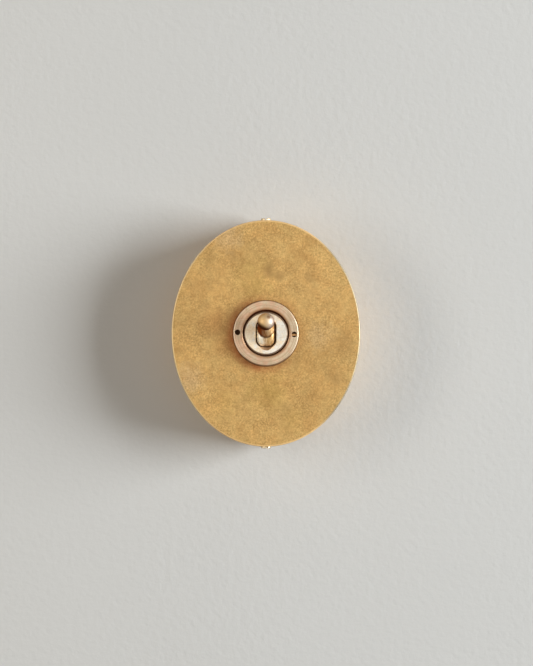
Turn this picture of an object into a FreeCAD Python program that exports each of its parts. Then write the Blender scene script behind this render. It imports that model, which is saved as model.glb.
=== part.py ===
import FreeCAD, Part
import math
import os
import Sketcher

os.makedirs("parts", exist_ok=True)
doc = FreeCAD.newDocument("dolly_switch")
vector = FreeCAD.Vector

# Driving dimensions in millimetres and degrees
SIZES = {
    "cover_width": 100,
    "cover_height": 120,
    "cover_depth": 34,
    "cover_wall": 1.5,
    "face_thickness": 2,
    "cover_edge": 0.8,
    "ring_outer": 34.4,
    "ring_height": 4,
    "ring_bevel": 0.5,
    "ring_inner_bevel": 0.6,
    "spanner_hole": 2.9,
    "spanner_circle": 29.9,
    "spanner_depth": 3,
    "ring_turn": 2.2,
    "nose_thread": 23.4,
    "thread_clearance": 0.1,
    "pilot_step": 0.3,
    "groove_step": 0.4,
    "groove_depth": 1.6,
    "edge_break": 0.3,
    "flange_outer": 36,
    "flange_thickness": 2.4,
    "washer_thickness": 0.8,
    "hole_clearance": 0.2,
    "fit_clearance": 0.05,
    "slot_width": 10.4,
    "slot_height": 14.4,
    "slot_corner": 3.5,
    "slot_bevel": 0.45,
    "scoop_angle": 43.5,
    "pivot_depth": 2.6,
    "throw_angle": 24,
    "ball_diameter": 8.9,
    "ball_reach": 15,
    "neck_diameter": 5,
    "neck_reach": 10.4,
    "neck_round": 0.8,
    "root_reach": 7.2,
    "root_inset": 0.05,
    "drum_side_clearance": 0.6,
    "drum_end_clearance": 0.3,
    "drum_round": 2.9,
    "pivot_pin_diameter": 2.5,
    "pivot_pin_length": 22,
    "tail_diameter": 7,
    "tail_length": 12,
    "plunger_diameter": 4.2,
    "plunger_reach": 12.4,
    "plunger_length": 3.4,
    "plunger_clearance": 0.1,
    "bore_stop": 3,
    "spring_wire": 0.5,
    "spring_turns": 6,
    "rocker_distance": 19,
    "rocker_angle": 8,
    "rocker_width": 6,
    "cradle_clearance": 0.15,
    "cradle_span": 52,
    "cradle_rim": 1.2,
    "arm_length": 10.5,
    "arm_thickness": 1.2,
    "arm_offset": 2,
    "knuckle_diameter": 3.6,
    "rocker_pin_diameter": 2,
    "contact_reach": 8.8,
    "tip_diameter": 3,
    "tip_height": 1,
    "fixed_tip_height": 0.8,
    "contact_gap": 0.1,
    "strip_thickness": 1.45,
    "strip_width": 5,
    "base_floor": 2,
    "cavity_width": 12,
    "cavity_height": 27,
    "ear_thickness": 1,
    "ear_clearance": 0.6,
    "bracket_thickness": 0.8,
    "block_size": 6,
    "block_depth": 9,
    "block_offset": 10.5,
    "block_rise": 6.5,
    "wire_hole": 2.8,
    "wire_depth": 5.7,
    "wire_window": 3.6,
    "terminal_screw_diameter": 3,
    "terminal_screw_length": 4.5,
    "terminal_screw_proud": 0.5,
    "base_screw_diameter": 2.5,
    "base_screw_head": 4.4,
    "base_screw_head_height": 1.5,
    "base_screw_offset": 9.5,
    "base_screw_rise": 12.5,
    "cover_screw_diameter": 3,
    "cover_screw_length": 7,
    "cover_screw_head": 5.5,
    "cover_screw_head_height": 2.2,
    "cover_screw_height": 11,
    "lower_screw_turn": 20,
    "driver_slot_width": 0.8,
    "driver_slot_depth": 1,
    "plate_clearance": 0.5,
    "plate_thickness": 1.5,
    "lug_width": 12,
    "lug_length": 16,
    "lug_inset": 0.6,
    "wall_hole_spacing": 60.3,
    "wall_slot_width": 4.5,
    "wall_slot_length": 9,
    "dish_diameter": 34,
    "dish_height": 2,
    "cable_inset": 28,
    "cable_bore": 12,
    "grommet_neck": 20,
    "grommet_lip": 25,
    "grommet_lip_thickness": 1.5,
    "earth_inset": 26,
    "earth_block": 8,
    "earth_block_depth": 7,
    "earth_wire_height": 2.8,
}

sheet = doc.addObject("Spreadsheet::Sheet", "dims")
for row, (alias, size) in enumerate(SIZES.items(), 1):
    sheet.set(f"A{row}", alias)
    sheet.set(f"B{row}", str(size))
    sheet.setAlias(f"B{row}", alias)
doc.recompute()

# Distances in front of the wall, as expressions
NOSE_FACE = "(dims.cover_depth + dims.ring_height)"
PIVOT = f"({NOSE_FACE} - dims.pivot_depth)"
FACE_BACK = "(dims.cover_depth - dims.face_thickness)"
FLANGE_FRONT = f"({FACE_BACK} - dims.washer_thickness)"
FLANGE_BACK = f"({FLANGE_FRONT} - dims.flange_thickness)"
ROCKER = f"({PIVOT} - dims.rocker_distance)"
TIP_BACK = (
    "((dims.contact_reach + dims.tip_diameter / 2) * sin(dims.rocker_angle)"
    " - (dims.arm_offset - dims.tip_height) * cos(dims.rocker_angle))"
)
FIXED_FACE = f"({ROCKER} - {TIP_BACK} - dims.contact_gap)"
STRIP_FACE = f"({FIXED_FACE} - dims.fixed_tip_height)"
FLOOR = f"({STRIP_FACE} - dims.strip_thickness)"
BASE_BACK = f"({FLOOR} - dims.base_floor)"
WIRE = f"({BASE_BACK} + dims.wire_depth)"

# Widths and radii that more than one piece uses
NOSE_R = "dims.nose_thread / 2"
PILOT_R = f"({NOSE_R} - dims.pilot_step)"
GROOVE_BOTTOM = f"({NOSE_FACE} - dims.groove_depth)"
NOSE_HOLE_R = f"({NOSE_R} + dims.hole_clearance)"
DRUM_WIDTH = "(dims.slot_width - 2 * dims.drum_side_clearance)"
DRUM_R = "(dims.slot_height / 2 - dims.drum_end_clearance)"
ROOT_R = f"({DRUM_WIDTH} / 2 - dims.root_inset)"
BORE_R = "(dims.plunger_diameter / 2 + dims.plunger_clearance)"
CONTACT_RISE = "(dims.contact_reach * cos(dims.rocker_angle))"
EAR_INSIDE = "(dims.rocker_width / 2 + dims.ear_clearance)"
EAR_OUTSIDE = f"({EAR_INSIDE} + dims.ear_thickness)"
BLOCK_INSIDE = "(dims.block_offset - dims.block_size / 2)"
TAPPED = "dims.fit_clearance"
LUG_FACE = "(dims.cover_height / 2 - dims.cover_wall - dims.plate_clearance - dims.lug_inset)"
CABLE_RISE = "(dims.cover_height / 2 - dims.cable_inset)"
EARTH_DROP = "(dims.cover_height / 2 - dims.earth_inset)"

# Path of the plunger's centre across the rocker, and the arc that fits it
SWING_Y = "(dims.plunger_reach * cos(dims.throw_angle) - dims.rocker_distance)"
SWING_Z = "(dims.plunger_reach * sin(dims.throw_angle))"
PATH_Y = f"({SWING_Y} * cos(dims.rocker_angle) - {SWING_Z} * sin(dims.rocker_angle))"
PATH_Z = f"({SWING_Y} * sin(dims.rocker_angle) + {SWING_Z} * cos(dims.rocker_angle))"
PATH_SAG = f"(dims.plunger_reach - dims.rocker_distance - {PATH_Y})"
PATH_R = f"(({PATH_Z} ^ 2 + {PATH_SAG} ^ 2) / (2 * {PATH_SAG}))"
CRADLE_Y = f"(dims.plunger_reach - dims.rocker_distance - {PATH_R})"
CRADLE_R = f"({PATH_R} + dims.plunger_diameter / 2 + dims.cradle_clearance)"
RIM_Y = f"({CRADLE_Y} + {CRADLE_R} * cos(dims.cradle_span))"
RIM_Z = f"({CRADLE_R} * sin(dims.cradle_span) + dims.cradle_rim)"


def value(expression):
    return float(sheet.evalExpression(expression))


def new_body(label):
    return doc.addObject("PartDesign::Body", label)


def new_sketch(body, name, role, offset="0"):
    sketch = body.newObject("Sketcher::SketchObject", name)
    plane = [item for item in body.Origin.OriginFeatures if item.Role == role][0]
    sketch.AttachmentSupport = [(plane, "")]
    sketch.MapMode = "FlatFace"
    sketch.setExpression("AttachmentOffset.Base.z", offset)
    return sketch


def pin_down(sketch, geometry, end, across, up):
    """Ties a point to the sketch origin by two expressions."""
    for kind, axis, expression in (("DistanceX", -2, across), ("DistanceY", -1, up)):
        if value(expression) == 0:
            sketch.addConstraint(Sketcher.Constraint("PointOnObject", geometry, end, axis))
        else:
            rule = Sketcher.Constraint(kind, -1, 1, geometry, end, value(expression))
            index = sketch.addConstraint(rule)
            sketch.setExpression(f"Constraints[{index}]", expression)


def set_radius(sketch, geometry, radius):
    index = sketch.addConstraint(Sketcher.Constraint("Radius", geometry, value(radius)))
    sketch.setExpression(f"Constraints[{index}]", radius)


def outline(sketch, corners):
    """Closed outline of straight edges through corners given as pairs of expressions."""
    first = sketch.GeometryCount
    points = [vector(value(across), value(up), 0) for across, up in corners]
    for start, end in zip(points, points[1:] + points[:1]):
        sketch.addGeometry(Part.LineSegment(start, end), False)
    for step, (across, up) in enumerate(corners):
        following = (step + 1) % len(corners)
        sketch.addConstraint(Sketcher.Constraint("Coincident", first + step, 2, first + following, 1))
        pin_down(sketch, first + step, 1, across, up)


def rectangle(sketch, left, right, bottom, top):
    outline(sketch, [(left, bottom), (right, bottom), (right, top), (left, top)])


def circle(sketch, across, up, radius):
    centre = vector(value(across), value(up), 0)
    index = sketch.addGeometry(Part.Circle(centre, vector(0, 0, 1), value(radius)), False)
    pin_down(sketch, index, 3, across, up)
    set_radius(sketch, index, radius)


def ellipse(sketch, half_width, half_height):
    """Ellipse about the sketch origin, with its long axis whichever way is longer."""
    ends = [("DistanceX", -1, half_width, vector(1, 0, 0)), ("DistanceY", -2, half_height, vector(0, 1, 0))]
    ends.sort(key=lambda entry: -value(entry[2]))
    long_end, short_end = [way * value(half) for _, _, half, way in ends]
    index = sketch.addGeometry(Part.Ellipse(long_end, short_end, vector(0, 0, 0)), False)
    sketch.exposeInternalGeometry(index)
    sketch.addConstraint(Sketcher.Constraint("Coincident", index, 3, -1, 1))
    for line, (kind, axis, half, way) in zip((index + 1, index + 2), ends):
        start = sketch.getPoint(line, 1)
        end = 1 if start.dot(way) > 0 else 2
        if line == index + 1:
            sketch.addConstraint(Sketcher.Constraint("PointOnObject", line, end, axis))
        rule = Sketcher.Constraint(kind, -1, 1, line, end, value(half))
        rule_index = sketch.addConstraint(rule)
        sketch.setExpression(f"Constraints[{rule_index}]", half)


def long_hole(sketch, across, up, length, width):
    """Slot with round ends, lying along the sketch's horizontal."""
    radius = f"{width} / 2"
    reach = f"({length} - {width}) / 2"
    right = f"{across} + {reach}"
    left = f"{across} - {reach}"
    half = value(radius)
    normal = vector(0, 0, 1)
    quarter = math.pi / 2
    first = sketch.GeometryCount
    for centre, turn in ((right, -quarter), (left, quarter)):
        ring = Part.Circle(vector(value(centre), value(up), 0), normal, half)
        sketch.addGeometry(Part.ArcOfCircle(ring, turn, turn + 2 * quarter), False)
    for side, start, end in ((1, right, left), (-1, left, right)):
        level = value(up) + side * half
        line = Part.LineSegment(vector(value(start), level, 0), vector(value(end), level, 0))
        sketch.addGeometry(line, False)
    for start, end in ((0, 2), (2, 1), (1, 3), (3, 0)):
        sketch.addConstraint(Sketcher.Constraint("Tangent", first + start, 2, first + end, 1))
    sketch.addConstraint(Sketcher.Constraint("Equal", first, first + 1))
    set_radius(sketch, first, radius)
    pin_down(sketch, first, 3, right, up)
    pin_down(sketch, first + 1, 3, left, up)


def grow(body, sketch, name, length, both_ways=False, reverse=False):
    feature = body.newObject("PartDesign::Pad", name)
    feature.Profile = sketch
    feature.setExpression("Length", length)
    feature.SideType = "Symmetric" if both_ways else "One side"
    feature.Reversed = reverse
    before = feature.BaseFeature.Shape.Volume if feature.BaseFeature else 0
    doc.recompute()
    if feature.Shape.Volume <= before:
        raise RuntimeError(f"{name} added nothing")
    return feature


def cut(body, sketch, name, length, both_ways=False, reverse=False):
    feature = body.newObject("PartDesign::Pocket", name)
    feature.Profile = sketch
    feature.setExpression("Length", length)
    feature.SideType = "Symmetric" if both_ways else "One side"
    feature.Reversed = reverse
    doc.recompute()
    if feature.Shape.Volume >= feature.BaseFeature.Shape.Volume:
        raise RuntimeError(f"{name} cut nothing")
    return feature


def turn(body, sketch, name):
    feature = body.newObject("PartDesign::Revolution", name)
    feature.Profile = sketch
    feature.ReferenceAxis = (sketch, ["V_Axis"])
    feature.Angle = 360
    doc.recompute()
    return feature


def dress(body, kind, name, property_name, size, wanted):
    """Fillet or chamfer on the edges of the tip that the test picks."""
    base = body.Tip
    names = [f"Edge{n}" for n, edge in enumerate(base.Shape.Edges, 1) if wanted(edge)]
    feature = body.newObject(f"PartDesign::{kind}", name)
    feature.Base = (base, names)
    feature.setExpression(property_name, size)
    doc.recompute()
    return feature


def put(item, across="0", forward="0", up="0", axis=vector(1, 0, 0), angle="0"):
    """Places an item by its distance to the right, in front of the wall and up."""
    item.Placement = FreeCAD.Placement(vector(0, 0, 0), FreeCAD.Rotation(axis, 1))
    item.setExpression("Placement.Base.x", across)
    item.setExpression("Placement.Base.y", f"-({forward})")
    item.setExpression("Placement.Base.z", up)
    item.setExpression("Placement.Rotation.Angle", angle)
    return item


def rod(name, radius, length):
    """Plain cylinder along Z from its own origin."""
    item = doc.addObject("Part::Cylinder", name)
    item.setExpression("Radius", radius)
    item.setExpression("Height", length)
    return item


def group(label, items):
    whole = doc.addObject("Part::Compound", label)
    whole.Links = items
    return whole


def slotted_screw(name, diameter, length, head, head_height):
    """Slotted screw along Z, its head above the origin and its shank below."""
    body = new_body(name)
    shank_r = f"{diameter} / 2"
    head_r = f"{head} / 2"
    tip = f"-({length})"
    profile = new_sketch(body, f"{name}_profile", "XZ_Plane")
    corners = [
        ("0", tip),
        (f"{shank_r} - dims.edge_break", tip),
        (shank_r, f"{tip} + dims.edge_break"),
        (shank_r, "0"),
        (head_r, "0"),
        (head_r, f"{head_height} - dims.edge_break"),
        (f"{head_r} - dims.edge_break", head_height),
        ("0", head_height),
    ]
    outline(profile, corners)
    turn(body, profile, f"{name}_turned")
    groove = new_sketch(body, f"{name}_groove", "XY_Plane", head_height)
    half_slot = "dims.driver_slot_width / 2"
    rectangle(groove, f"-{head_r}", head_r, f"-{half_slot}", half_slot)
    cut(body, groove, f"{name}_slotted", "dims.driver_slot_depth")
    return body


def grub_screw(name, diameter, length):
    """Headless slotted screw along Z, its slotted end at the origin."""
    body = new_body(name)
    radius = f"{diameter} / 2"
    profile = new_sketch(body, f"{name}_profile", "XZ_Plane")
    corners = [
        ("0", f"-({length})"),
        (f"{radius} - dims.edge_break", f"-({length})"),
        (radius, f"dims.edge_break - ({length})"),
        (radius, "0"),
        ("0", "0"),
    ]
    outline(profile, corners)
    turn(body, profile, f"{name}_turned")
    groove = new_sketch(body, f"{name}_groove", "XY_Plane")
    half_slot = "dims.driver_slot_width / 2"
    rectangle(groove, f"-{radius}", radius, f"-{half_slot}", half_slot)
    cut(body, groove, f"{name}_slotted", "dims.driver_slot_depth")
    return body


# Oval cover, one brass shell with a flat face and a straight wall
cover = new_body("cover")
oval = new_sketch(cover, "cover_oval", "XZ_Plane")
ellipse(oval, "dims.cover_width / 2", "dims.cover_height / 2")
grow(cover, oval, "cover_block", "dims.cover_depth")
front_y = -value("dims.cover_depth")
dress(
    cover, "Fillet", "cover_edge_round", "Radius", "dims.cover_edge",
    lambda edge: abs(edge.BoundBox.YMin - front_y) < 1e-6 and edge.BoundBox.YLength < 1e-6,
)
hollow = new_sketch(cover, "cover_inside", "XZ_Plane")
ellipse(hollow, "dims.cover_width / 2 - dims.cover_wall", "dims.cover_height / 2 - dims.cover_wall")
cut(cover, hollow, "cover_hollow", FACE_BACK, reverse=True)
opening = new_sketch(cover, "nose_opening", "XZ_Plane", "dims.cover_depth")
circle(opening, "0", "0", NOSE_HOLE_R)
cut(cover, opening, "nose_hole", "dims.face_thickness")
screw_holes = new_sketch(cover, "cover_screw_places", "XY_Plane")
circle(screw_holes, "0", "-dims.cover_screw_height", "dims.cover_screw_diameter / 2 + dims.hole_clearance")
cut(cover, screw_holes, "cover_screw_holes", "dims.cover_height + dims.cover_wall", both_ways=True)

# Steel back plate with folded lugs, wall slots and a raised seat for the grommet
back_plate = new_body("back_plate")
INSET = "(dims.cover_wall + dims.plate_clearance)"
plate_oval = new_sketch(back_plate, "plate_oval", "XZ_Plane")
ellipse(plate_oval, f"dims.cover_width / 2 - {INSET}", f"dims.cover_height / 2 - {INSET}")
grow(back_plate, plate_oval, "plate_blank", "dims.plate_thickness")
dish = new_sketch(back_plate, "dish_outside", "XZ_Plane")
circle(dish, "0", CABLE_RISE, "dims.dish_diameter / 2")
grow(back_plate, dish, "dish_raised", "dims.plate_thickness + dims.dish_height")
dish_inside = new_sketch(back_plate, "dish_inside", "XZ_Plane")
circle(dish_inside, "0", CABLE_RISE, "dims.dish_diameter / 2 - dims.plate_thickness")
cut(back_plate, dish_inside, "dish_hollow", "dims.dish_height", reverse=True)
seat = new_sketch(back_plate, "grommet_seat", "XZ_Plane")
circle(seat, "0", CABLE_RISE, "dims.grommet_neck / 2 + dims.fit_clearance")
cut(back_plate, seat, "grommet_hole", "dims.plate_thickness + dims.dish_height", reverse=True)
for side, sign in (("left", "-"), ("right", "")):
    wall_slot = new_sketch(back_plate, f"wall_slot_{side}", "XZ_Plane")
    place = f"{sign}dims.wall_hole_spacing / 2"
    long_hole(wall_slot, place, "0", "dims.wall_slot_length", "dims.wall_slot_width")
    cut(back_plate, wall_slot, f"wall_slot_{side}_cut", "dims.plate_thickness", reverse=True)
lug = new_sketch(back_plate, "lug_outline", "XY_Plane", LUG_FACE)
rectangle(lug, "-dims.lug_width / 2", "dims.lug_width / 2", "-dims.lug_length", "0")
upper_lug = grow(back_plate, lug, "upper_lug", "dims.plate_thickness", reverse=True)
lugs = back_plate.newObject("PartDesign::Mirrored", "both_lugs")
lugs.Originals = [upper_lug]
middle = [item for item in back_plate.Origin.OriginFeatures if item.Role == "XY_Plane"][0]
lugs.MirrorPlane = (middle, [""])
back_plate.Tip = lugs
doc.recompute()
lug_holes = new_sketch(back_plate, "lug_hole_places", "XY_Plane")
circle(lug_holes, "0", "-dims.cover_screw_height", f"dims.cover_screw_diameter / 2 + {TAPPED}")
cut(back_plate, lug_holes, "lug_holes", "dims.cover_height", both_ways=True)

# Slotted screws that hold the cover to the lugs, one above and one below
upper_screw = slotted_screw(
    "cover_screw_upper", "dims.cover_screw_diameter", "dims.cover_screw_length",
    "dims.cover_screw_head", "dims.cover_screw_head_height",
)
lower_screw = slotted_screw(
    "cover_screw_lower", "dims.cover_screw_diameter", "dims.cover_screw_length",
    "dims.cover_screw_head", "dims.cover_screw_head_height",
)
upper_turned = group("cover_screw_upper_turned", [upper_screw])
put(upper_screw, axis=vector(0, 0, 1), angle="90")
put(upper_turned, forward="dims.cover_screw_height", up="dims.cover_height / 2")
lower_turned = group("cover_screw_lower_turned", [lower_screw])
put(lower_screw, axis=vector(0, 0, 1), angle="90 + dims.lower_screw_turn")
put(
    lower_turned, forward="dims.cover_screw_height", up="-dims.cover_height / 2",
    axis=vector(0, 1, 0), angle="180",
)
cover_screws = group("cover_screws", [upper_turned, lower_turned])

# Rubber grommet that lines the cable hole
cable_grommet = new_body("cable_grommet")
grommet_profile = new_sketch(cable_grommet, "grommet_profile", "XY_Plane")
DISH_BACK = "-dims.dish_height"
DISH_FRONT = "-(dims.dish_height + dims.plate_thickness)"
outline(grommet_profile, [
    ("dims.cable_bore / 2", f"{DISH_BACK} + dims.grommet_lip_thickness"),
    ("dims.grommet_lip / 2", f"{DISH_BACK} + dims.grommet_lip_thickness"),
    ("dims.grommet_lip / 2", DISH_BACK),
    ("dims.grommet_neck / 2", DISH_BACK),
    ("dims.grommet_neck / 2", DISH_FRONT),
    ("dims.grommet_lip / 2", DISH_FRONT),
    ("dims.grommet_lip / 2", f"{DISH_FRONT} - dims.grommet_lip_thickness"),
    ("dims.cable_bore / 2", f"{DISH_FRONT} - dims.grommet_lip_thickness"),
])
turn(cable_grommet, grommet_profile, "grommet_turned")
put(cable_grommet, up=CABLE_RISE)

# Earth terminal, a brass block on the back plate with its clamp screw
earth_terminal = new_body("earth_terminal")
earth_outline = new_sketch(earth_terminal, "earth_outline", "XZ_Plane")
HALF_EARTH = "dims.earth_block / 2"
rectangle(earth_outline, f"-{HALF_EARTH}", HALF_EARTH, f"-{HALF_EARTH}", HALF_EARTH)
grow(earth_terminal, earth_outline, "earth_block_solid", "dims.earth_block_depth")
earth_wire = new_sketch(earth_terminal, "earth_wire_place", "YZ_Plane")
circle(earth_wire, "-dims.earth_wire_height", "0", "dims.wire_hole / 2")
cut(earth_terminal, earth_wire, "earth_wire_hole", "dims.earth_block", both_ways=True)
earth_tap = new_sketch(earth_terminal, "earth_tap_place", "XZ_Plane", "dims.earth_block_depth")
circle(earth_tap, "0", "0", f"dims.terminal_screw_diameter / 2 + {TAPPED}")
cut(earth_terminal, earth_tap, "earth_tap", "dims.earth_block_depth - dims.earth_wire_height")
put(earth_terminal, forward="dims.plate_thickness", up=f"-{EARTH_DROP}")
earth_screw = slotted_screw(
    "earth_screw", "dims.terminal_screw_diameter",
    "dims.earth_block_depth - dims.earth_wire_height - dims.wire_hole / 2",
    "dims.cover_screw_head", "dims.cover_screw_head_height",
)
put(
    earth_screw, forward="dims.plate_thickness + dims.earth_block_depth", up=f"-{EARTH_DROP}",
    axis=vector(1, 0, 0), angle="90",
)

# Nose bush with the dolly slot, and the flange that carries the switch
nose_bush = new_body("nose_bush")
nose_profile = new_sketch(nose_bush, "nose_profile", "XY_Plane")
outline(nose_profile, [
    ("0", f"-{FLANGE_BACK}"),
    ("dims.flange_outer / 2", f"-{FLANGE_BACK}"),
    ("dims.flange_outer / 2", f"-{FLANGE_FRONT}"),
    (NOSE_R, f"-{FLANGE_FRONT}"),
    (NOSE_R, f"-{GROOVE_BOTTOM}"),
    (PILOT_R, f"-{GROOVE_BOTTOM}"),
    (PILOT_R, f"dims.edge_break - {NOSE_FACE}"),
    (f"{PILOT_R} - dims.edge_break", f"-{NOSE_FACE}"),
    ("0", f"-{NOSE_FACE}"),
])
turn(nose_bush, nose_profile, "nose_turned")
slot = new_sketch(nose_bush, "dolly_slot_outline", "XZ_Plane", NOSE_FACE)
HALF_SLOT = "dims.slot_width / 2"
SLOT_END = "dims.slot_height / 2"
rectangle(slot, f"-{HALF_SLOT}", HALF_SLOT, f"-{SLOT_END}", SLOT_END)
cut(nose_bush, slot, "dolly_slot", NOSE_FACE)
half_slot_width = value(HALF_SLOT)
slot_end_height = value(SLOT_END)
dress(
    nose_bush, "Fillet", "slot_corners", "Radius", "dims.slot_corner",
    lambda edge: edge.BoundBox.XLength < 1e-6 and edge.BoundBox.ZLength < 1e-6
    and abs(abs(edge.BoundBox.XMin) - half_slot_width) < 1e-6
    and abs(abs(edge.BoundBox.ZMin) - slot_end_height) < 1e-6,
)
nose_y = -value(NOSE_FACE)
dress(
    nose_bush, "Chamfer", "slot_edge", "Size", "dims.slot_bevel",
    lambda edge: edge.BoundBox.YLength < 1e-6 and abs(edge.BoundBox.YMin - nose_y) < 1e-6
    and abs(edge.BoundBox.XMin) < half_slot_width + 1e-6
    and abs(edge.BoundBox.ZMin) < slot_end_height + 1e-6,
)
for end, sign in (("upper", "-"), ("lower", "")):
    scoop = nose_bush.newObject("PartDesign::SubtractiveCylinder", f"{end}_scoop")
    scoop.setExpression("Radius", f"{ROOT_R} + dims.drum_end_clearance")
    scoop.setExpression("Height", "dims.ball_reach")
    put(scoop, forward=PIVOT, angle=f"90 {sign or '+'} dims.scoop_angle")
    doc.recompute()
    if scoop.Shape.Volume >= scoop.BaseFeature.Shape.Volume:
        raise RuntimeError(f"{end} scoop cut nothing")
pin_place = new_sketch(nose_bush, "pivot_pin_place", "YZ_Plane")
circle(pin_place, f"-{PIVOT}", "0", f"dims.pivot_pin_diameter / 2 + {TAPPED} / 2")
cut(nose_bush, pin_place, "pivot_pin_hole", "dims.nose_thread", both_ways=True)
BASE_SCREW_PLACES = [
    ("-dims.base_screw_offset", "dims.base_screw_rise"),
    ("dims.base_screw_offset", "-dims.base_screw_rise"),
]
taps = new_sketch(nose_bush, "base_screw_taps", "XZ_Plane", FLANGE_BACK)
for across, up in BASE_SCREW_PLACES:
    circle(taps, across, up, f"dims.base_screw_diameter / 2 + {TAPPED}")
cut(nose_bush, taps, "base_screw_tapped", "dims.flange_thickness", reverse=True)

# Ring nut that clamps the nose into the cover, with two blind spanner holes
locking_ring = new_body("locking_ring")
ring_profile = new_sketch(locking_ring, "ring_profile", "XY_Plane")
RING_BORE = f"({NOSE_R} + dims.thread_clearance)"
RING_GROOVE = f"({NOSE_R} + dims.thread_clearance + dims.groove_step)"
outline(ring_profile, [
    (RING_BORE, "-dims.cover_depth"),
    ("dims.ring_outer / 2", "-dims.cover_depth"),
    ("dims.ring_outer / 2", f"dims.ring_bevel - {NOSE_FACE}"),
    ("dims.ring_outer / 2 - dims.ring_bevel", f"-{NOSE_FACE}"),
    (f"{RING_GROOVE} + dims.ring_inner_bevel", f"-{NOSE_FACE}"),
    (RING_GROOVE, f"dims.ring_inner_bevel - {NOSE_FACE}"),
    (RING_GROOVE, f"-{GROOVE_BOTTOM}"),
    (RING_BORE, f"-{GROOVE_BOTTOM}"),
])
turn(locking_ring, ring_profile, "ring_turned")
spanner = new_sketch(locking_ring, "spanner_places", "XZ_Plane", NOSE_FACE)
for sign in ("", "-"):
    circle(spanner, f"{sign}dims.spanner_circle / 2", "0", "dims.spanner_hole / 2")
cut(locking_ring, spanner, "spanner_holes", "dims.spanner_depth")
put(locking_ring, axis=vector(0, 1, 0), angle="dims.ring_turn")

# Fibre washer between the flange and the inside of the cover
fibre_washer = new_body("fibre_washer")
washer_profile = new_sketch(fibre_washer, "washer_outline", "XZ_Plane", FLANGE_FRONT)
circle(washer_profile, "0", "0", "dims.flange_outer / 2")
circle(washer_profile, "0", "0", NOSE_HOLE_R)
grow(fibre_washer, washer_profile, "washer_disc", "dims.washer_thickness")

# Dolly with its ball, tapered stem, drum and hollow tail, built about its pivot
dolly = new_body("dolly")
drum = new_sketch(dolly, "drum_outline", "YZ_Plane")
circle(drum, "0", "0", DRUM_R)
grow(dolly, drum, "drum", DRUM_WIDTH, both_ways=True)
dress(
    dolly, "Fillet", "drum_edges", "Radius", "dims.drum_round",
    lambda edge: edge.BoundBox.XLength < 1e-6,
)
stem = new_sketch(dolly, "stem_profile", "XY_Plane")
outline(stem, [
    ("0", "0"),
    (ROOT_R, "0"),
    (ROOT_R, "-dims.root_reach"),
    ("dims.neck_diameter / 2", "-dims.neck_reach"),
    ("dims.neck_diameter / 2", "-dims.ball_reach"),
    ("0", "-dims.ball_reach"),
])
turn(dolly, stem, "stem")
ball = dolly.newObject("PartDesign::AdditiveSphere", "ball")
ball.setExpression("Radius", "dims.ball_diameter / 2")
put(ball, forward="dims.ball_reach")
doc.recompute()
neck_width = value("dims.neck_diameter")
neck_end = -value("dims.neck_reach")
dress(
    dolly, "Fillet", "neck_under_ball", "Radius", "dims.neck_round",
    lambda edge: abs(edge.BoundBox.XLength - neck_width) < 1e-3
    and edge.BoundBox.YLength < 1e-6 and edge.BoundBox.YMax < neck_end - 1e-6,
)
tail = new_sketch(dolly, "tail_profile", "XY_Plane")
outline(tail, [
    ("0", "0"),
    ("dims.tail_diameter / 2", "0"),
    ("dims.tail_diameter / 2", "dims.tail_length - dims.edge_break"),
    ("dims.tail_diameter / 2 - dims.edge_break", "dims.tail_length"),
    ("0", "dims.tail_length"),
])
turn(dolly, tail, "tail")
bore = new_sketch(dolly, "plunger_bore_place", "XZ_Plane", "-dims.tail_length")
circle(bore, "0", "0", BORE_R)
cut(dolly, bore, "plunger_bore", "dims.tail_length - dims.bore_stop", reverse=True)
pin_hole = new_sketch(dolly, "dolly_pin_place", "YZ_Plane")
circle(pin_hole, "0", "0", f"dims.pivot_pin_diameter / 2 + {TAPPED}")
cut(dolly, pin_hole, "dolly_pin_hole", "dims.slot_width", both_ways=True)
put(dolly, forward=PIVOT, angle="-dims.throw_angle")

# Hinge pin pressed across the nose bush
pivot_pin = rod("pivot_pin", "dims.pivot_pin_diameter / 2", "dims.pivot_pin_length")
put(pivot_pin, across="-dims.pivot_pin_length / 2", forward=PIVOT, axis=vector(0, 1, 0), angle="90")

# Sprung plunger in the tail, with its round end on the rocker
plunger = new_body("plunger")
shank = new_sketch(plunger, "plunger_profile", "XY_Plane")
rectangle(
    shank, "0", "dims.plunger_diameter / 2",
    "dims.plunger_reach - dims.plunger_length", "dims.plunger_reach",
)
turn(plunger, shank, "plunger_shank")
nib = plunger.newObject("PartDesign::AdditiveSphere", "plunger_nib")
nib.setExpression("Radius", "dims.plunger_diameter / 2")
put(nib, forward="-dims.plunger_reach")
put(plunger, forward=PIVOT, angle="-dims.throw_angle")
doc.recompute()

# Coil spring between the blind end of the bore and the plunger
COIL_R = f"({BORE_R} - dims.plunger_clearance - dims.spring_wire)"
COIL_START = "(dims.bore_stop + dims.spring_wire / 2 + dims.fit_clearance)"
COIL_END = (
    "(dims.plunger_reach - dims.plunger_length - dims.spring_wire / 2 - dims.fit_clearance)"
)
coil = doc.addObject("Part::Helix", "spring_path")
coil.setExpression("Radius", COIL_R)
coil.setExpression("Pitch", f"({COIL_END} - {COIL_START}) / dims.spring_turns")
coil.setExpression("Height", f"{COIL_END} - {COIL_START}")
wire = doc.addObject("Part::Circle", "spring_section")
wire.setExpression("Radius", "dims.spring_wire / 2")
put(wire, across=COIL_R, axis=vector(1, 0, 0), angle="90")
doc.recompute()
spring = doc.addObject("Part::Sweep", "spring_coil")
spring.Sections = [wire]
spring.Spine = (coil, ["Edge1"])
spring.Solid = True
spring.Frenet = True
put(spring, forward=f"-{COIL_START}", axis=vector(1, 0, 0), angle="-90")
plunger_spring = group("plunger_spring", [spring])
put(plunger_spring, forward=PIVOT, angle="-dims.throw_angle")

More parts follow.
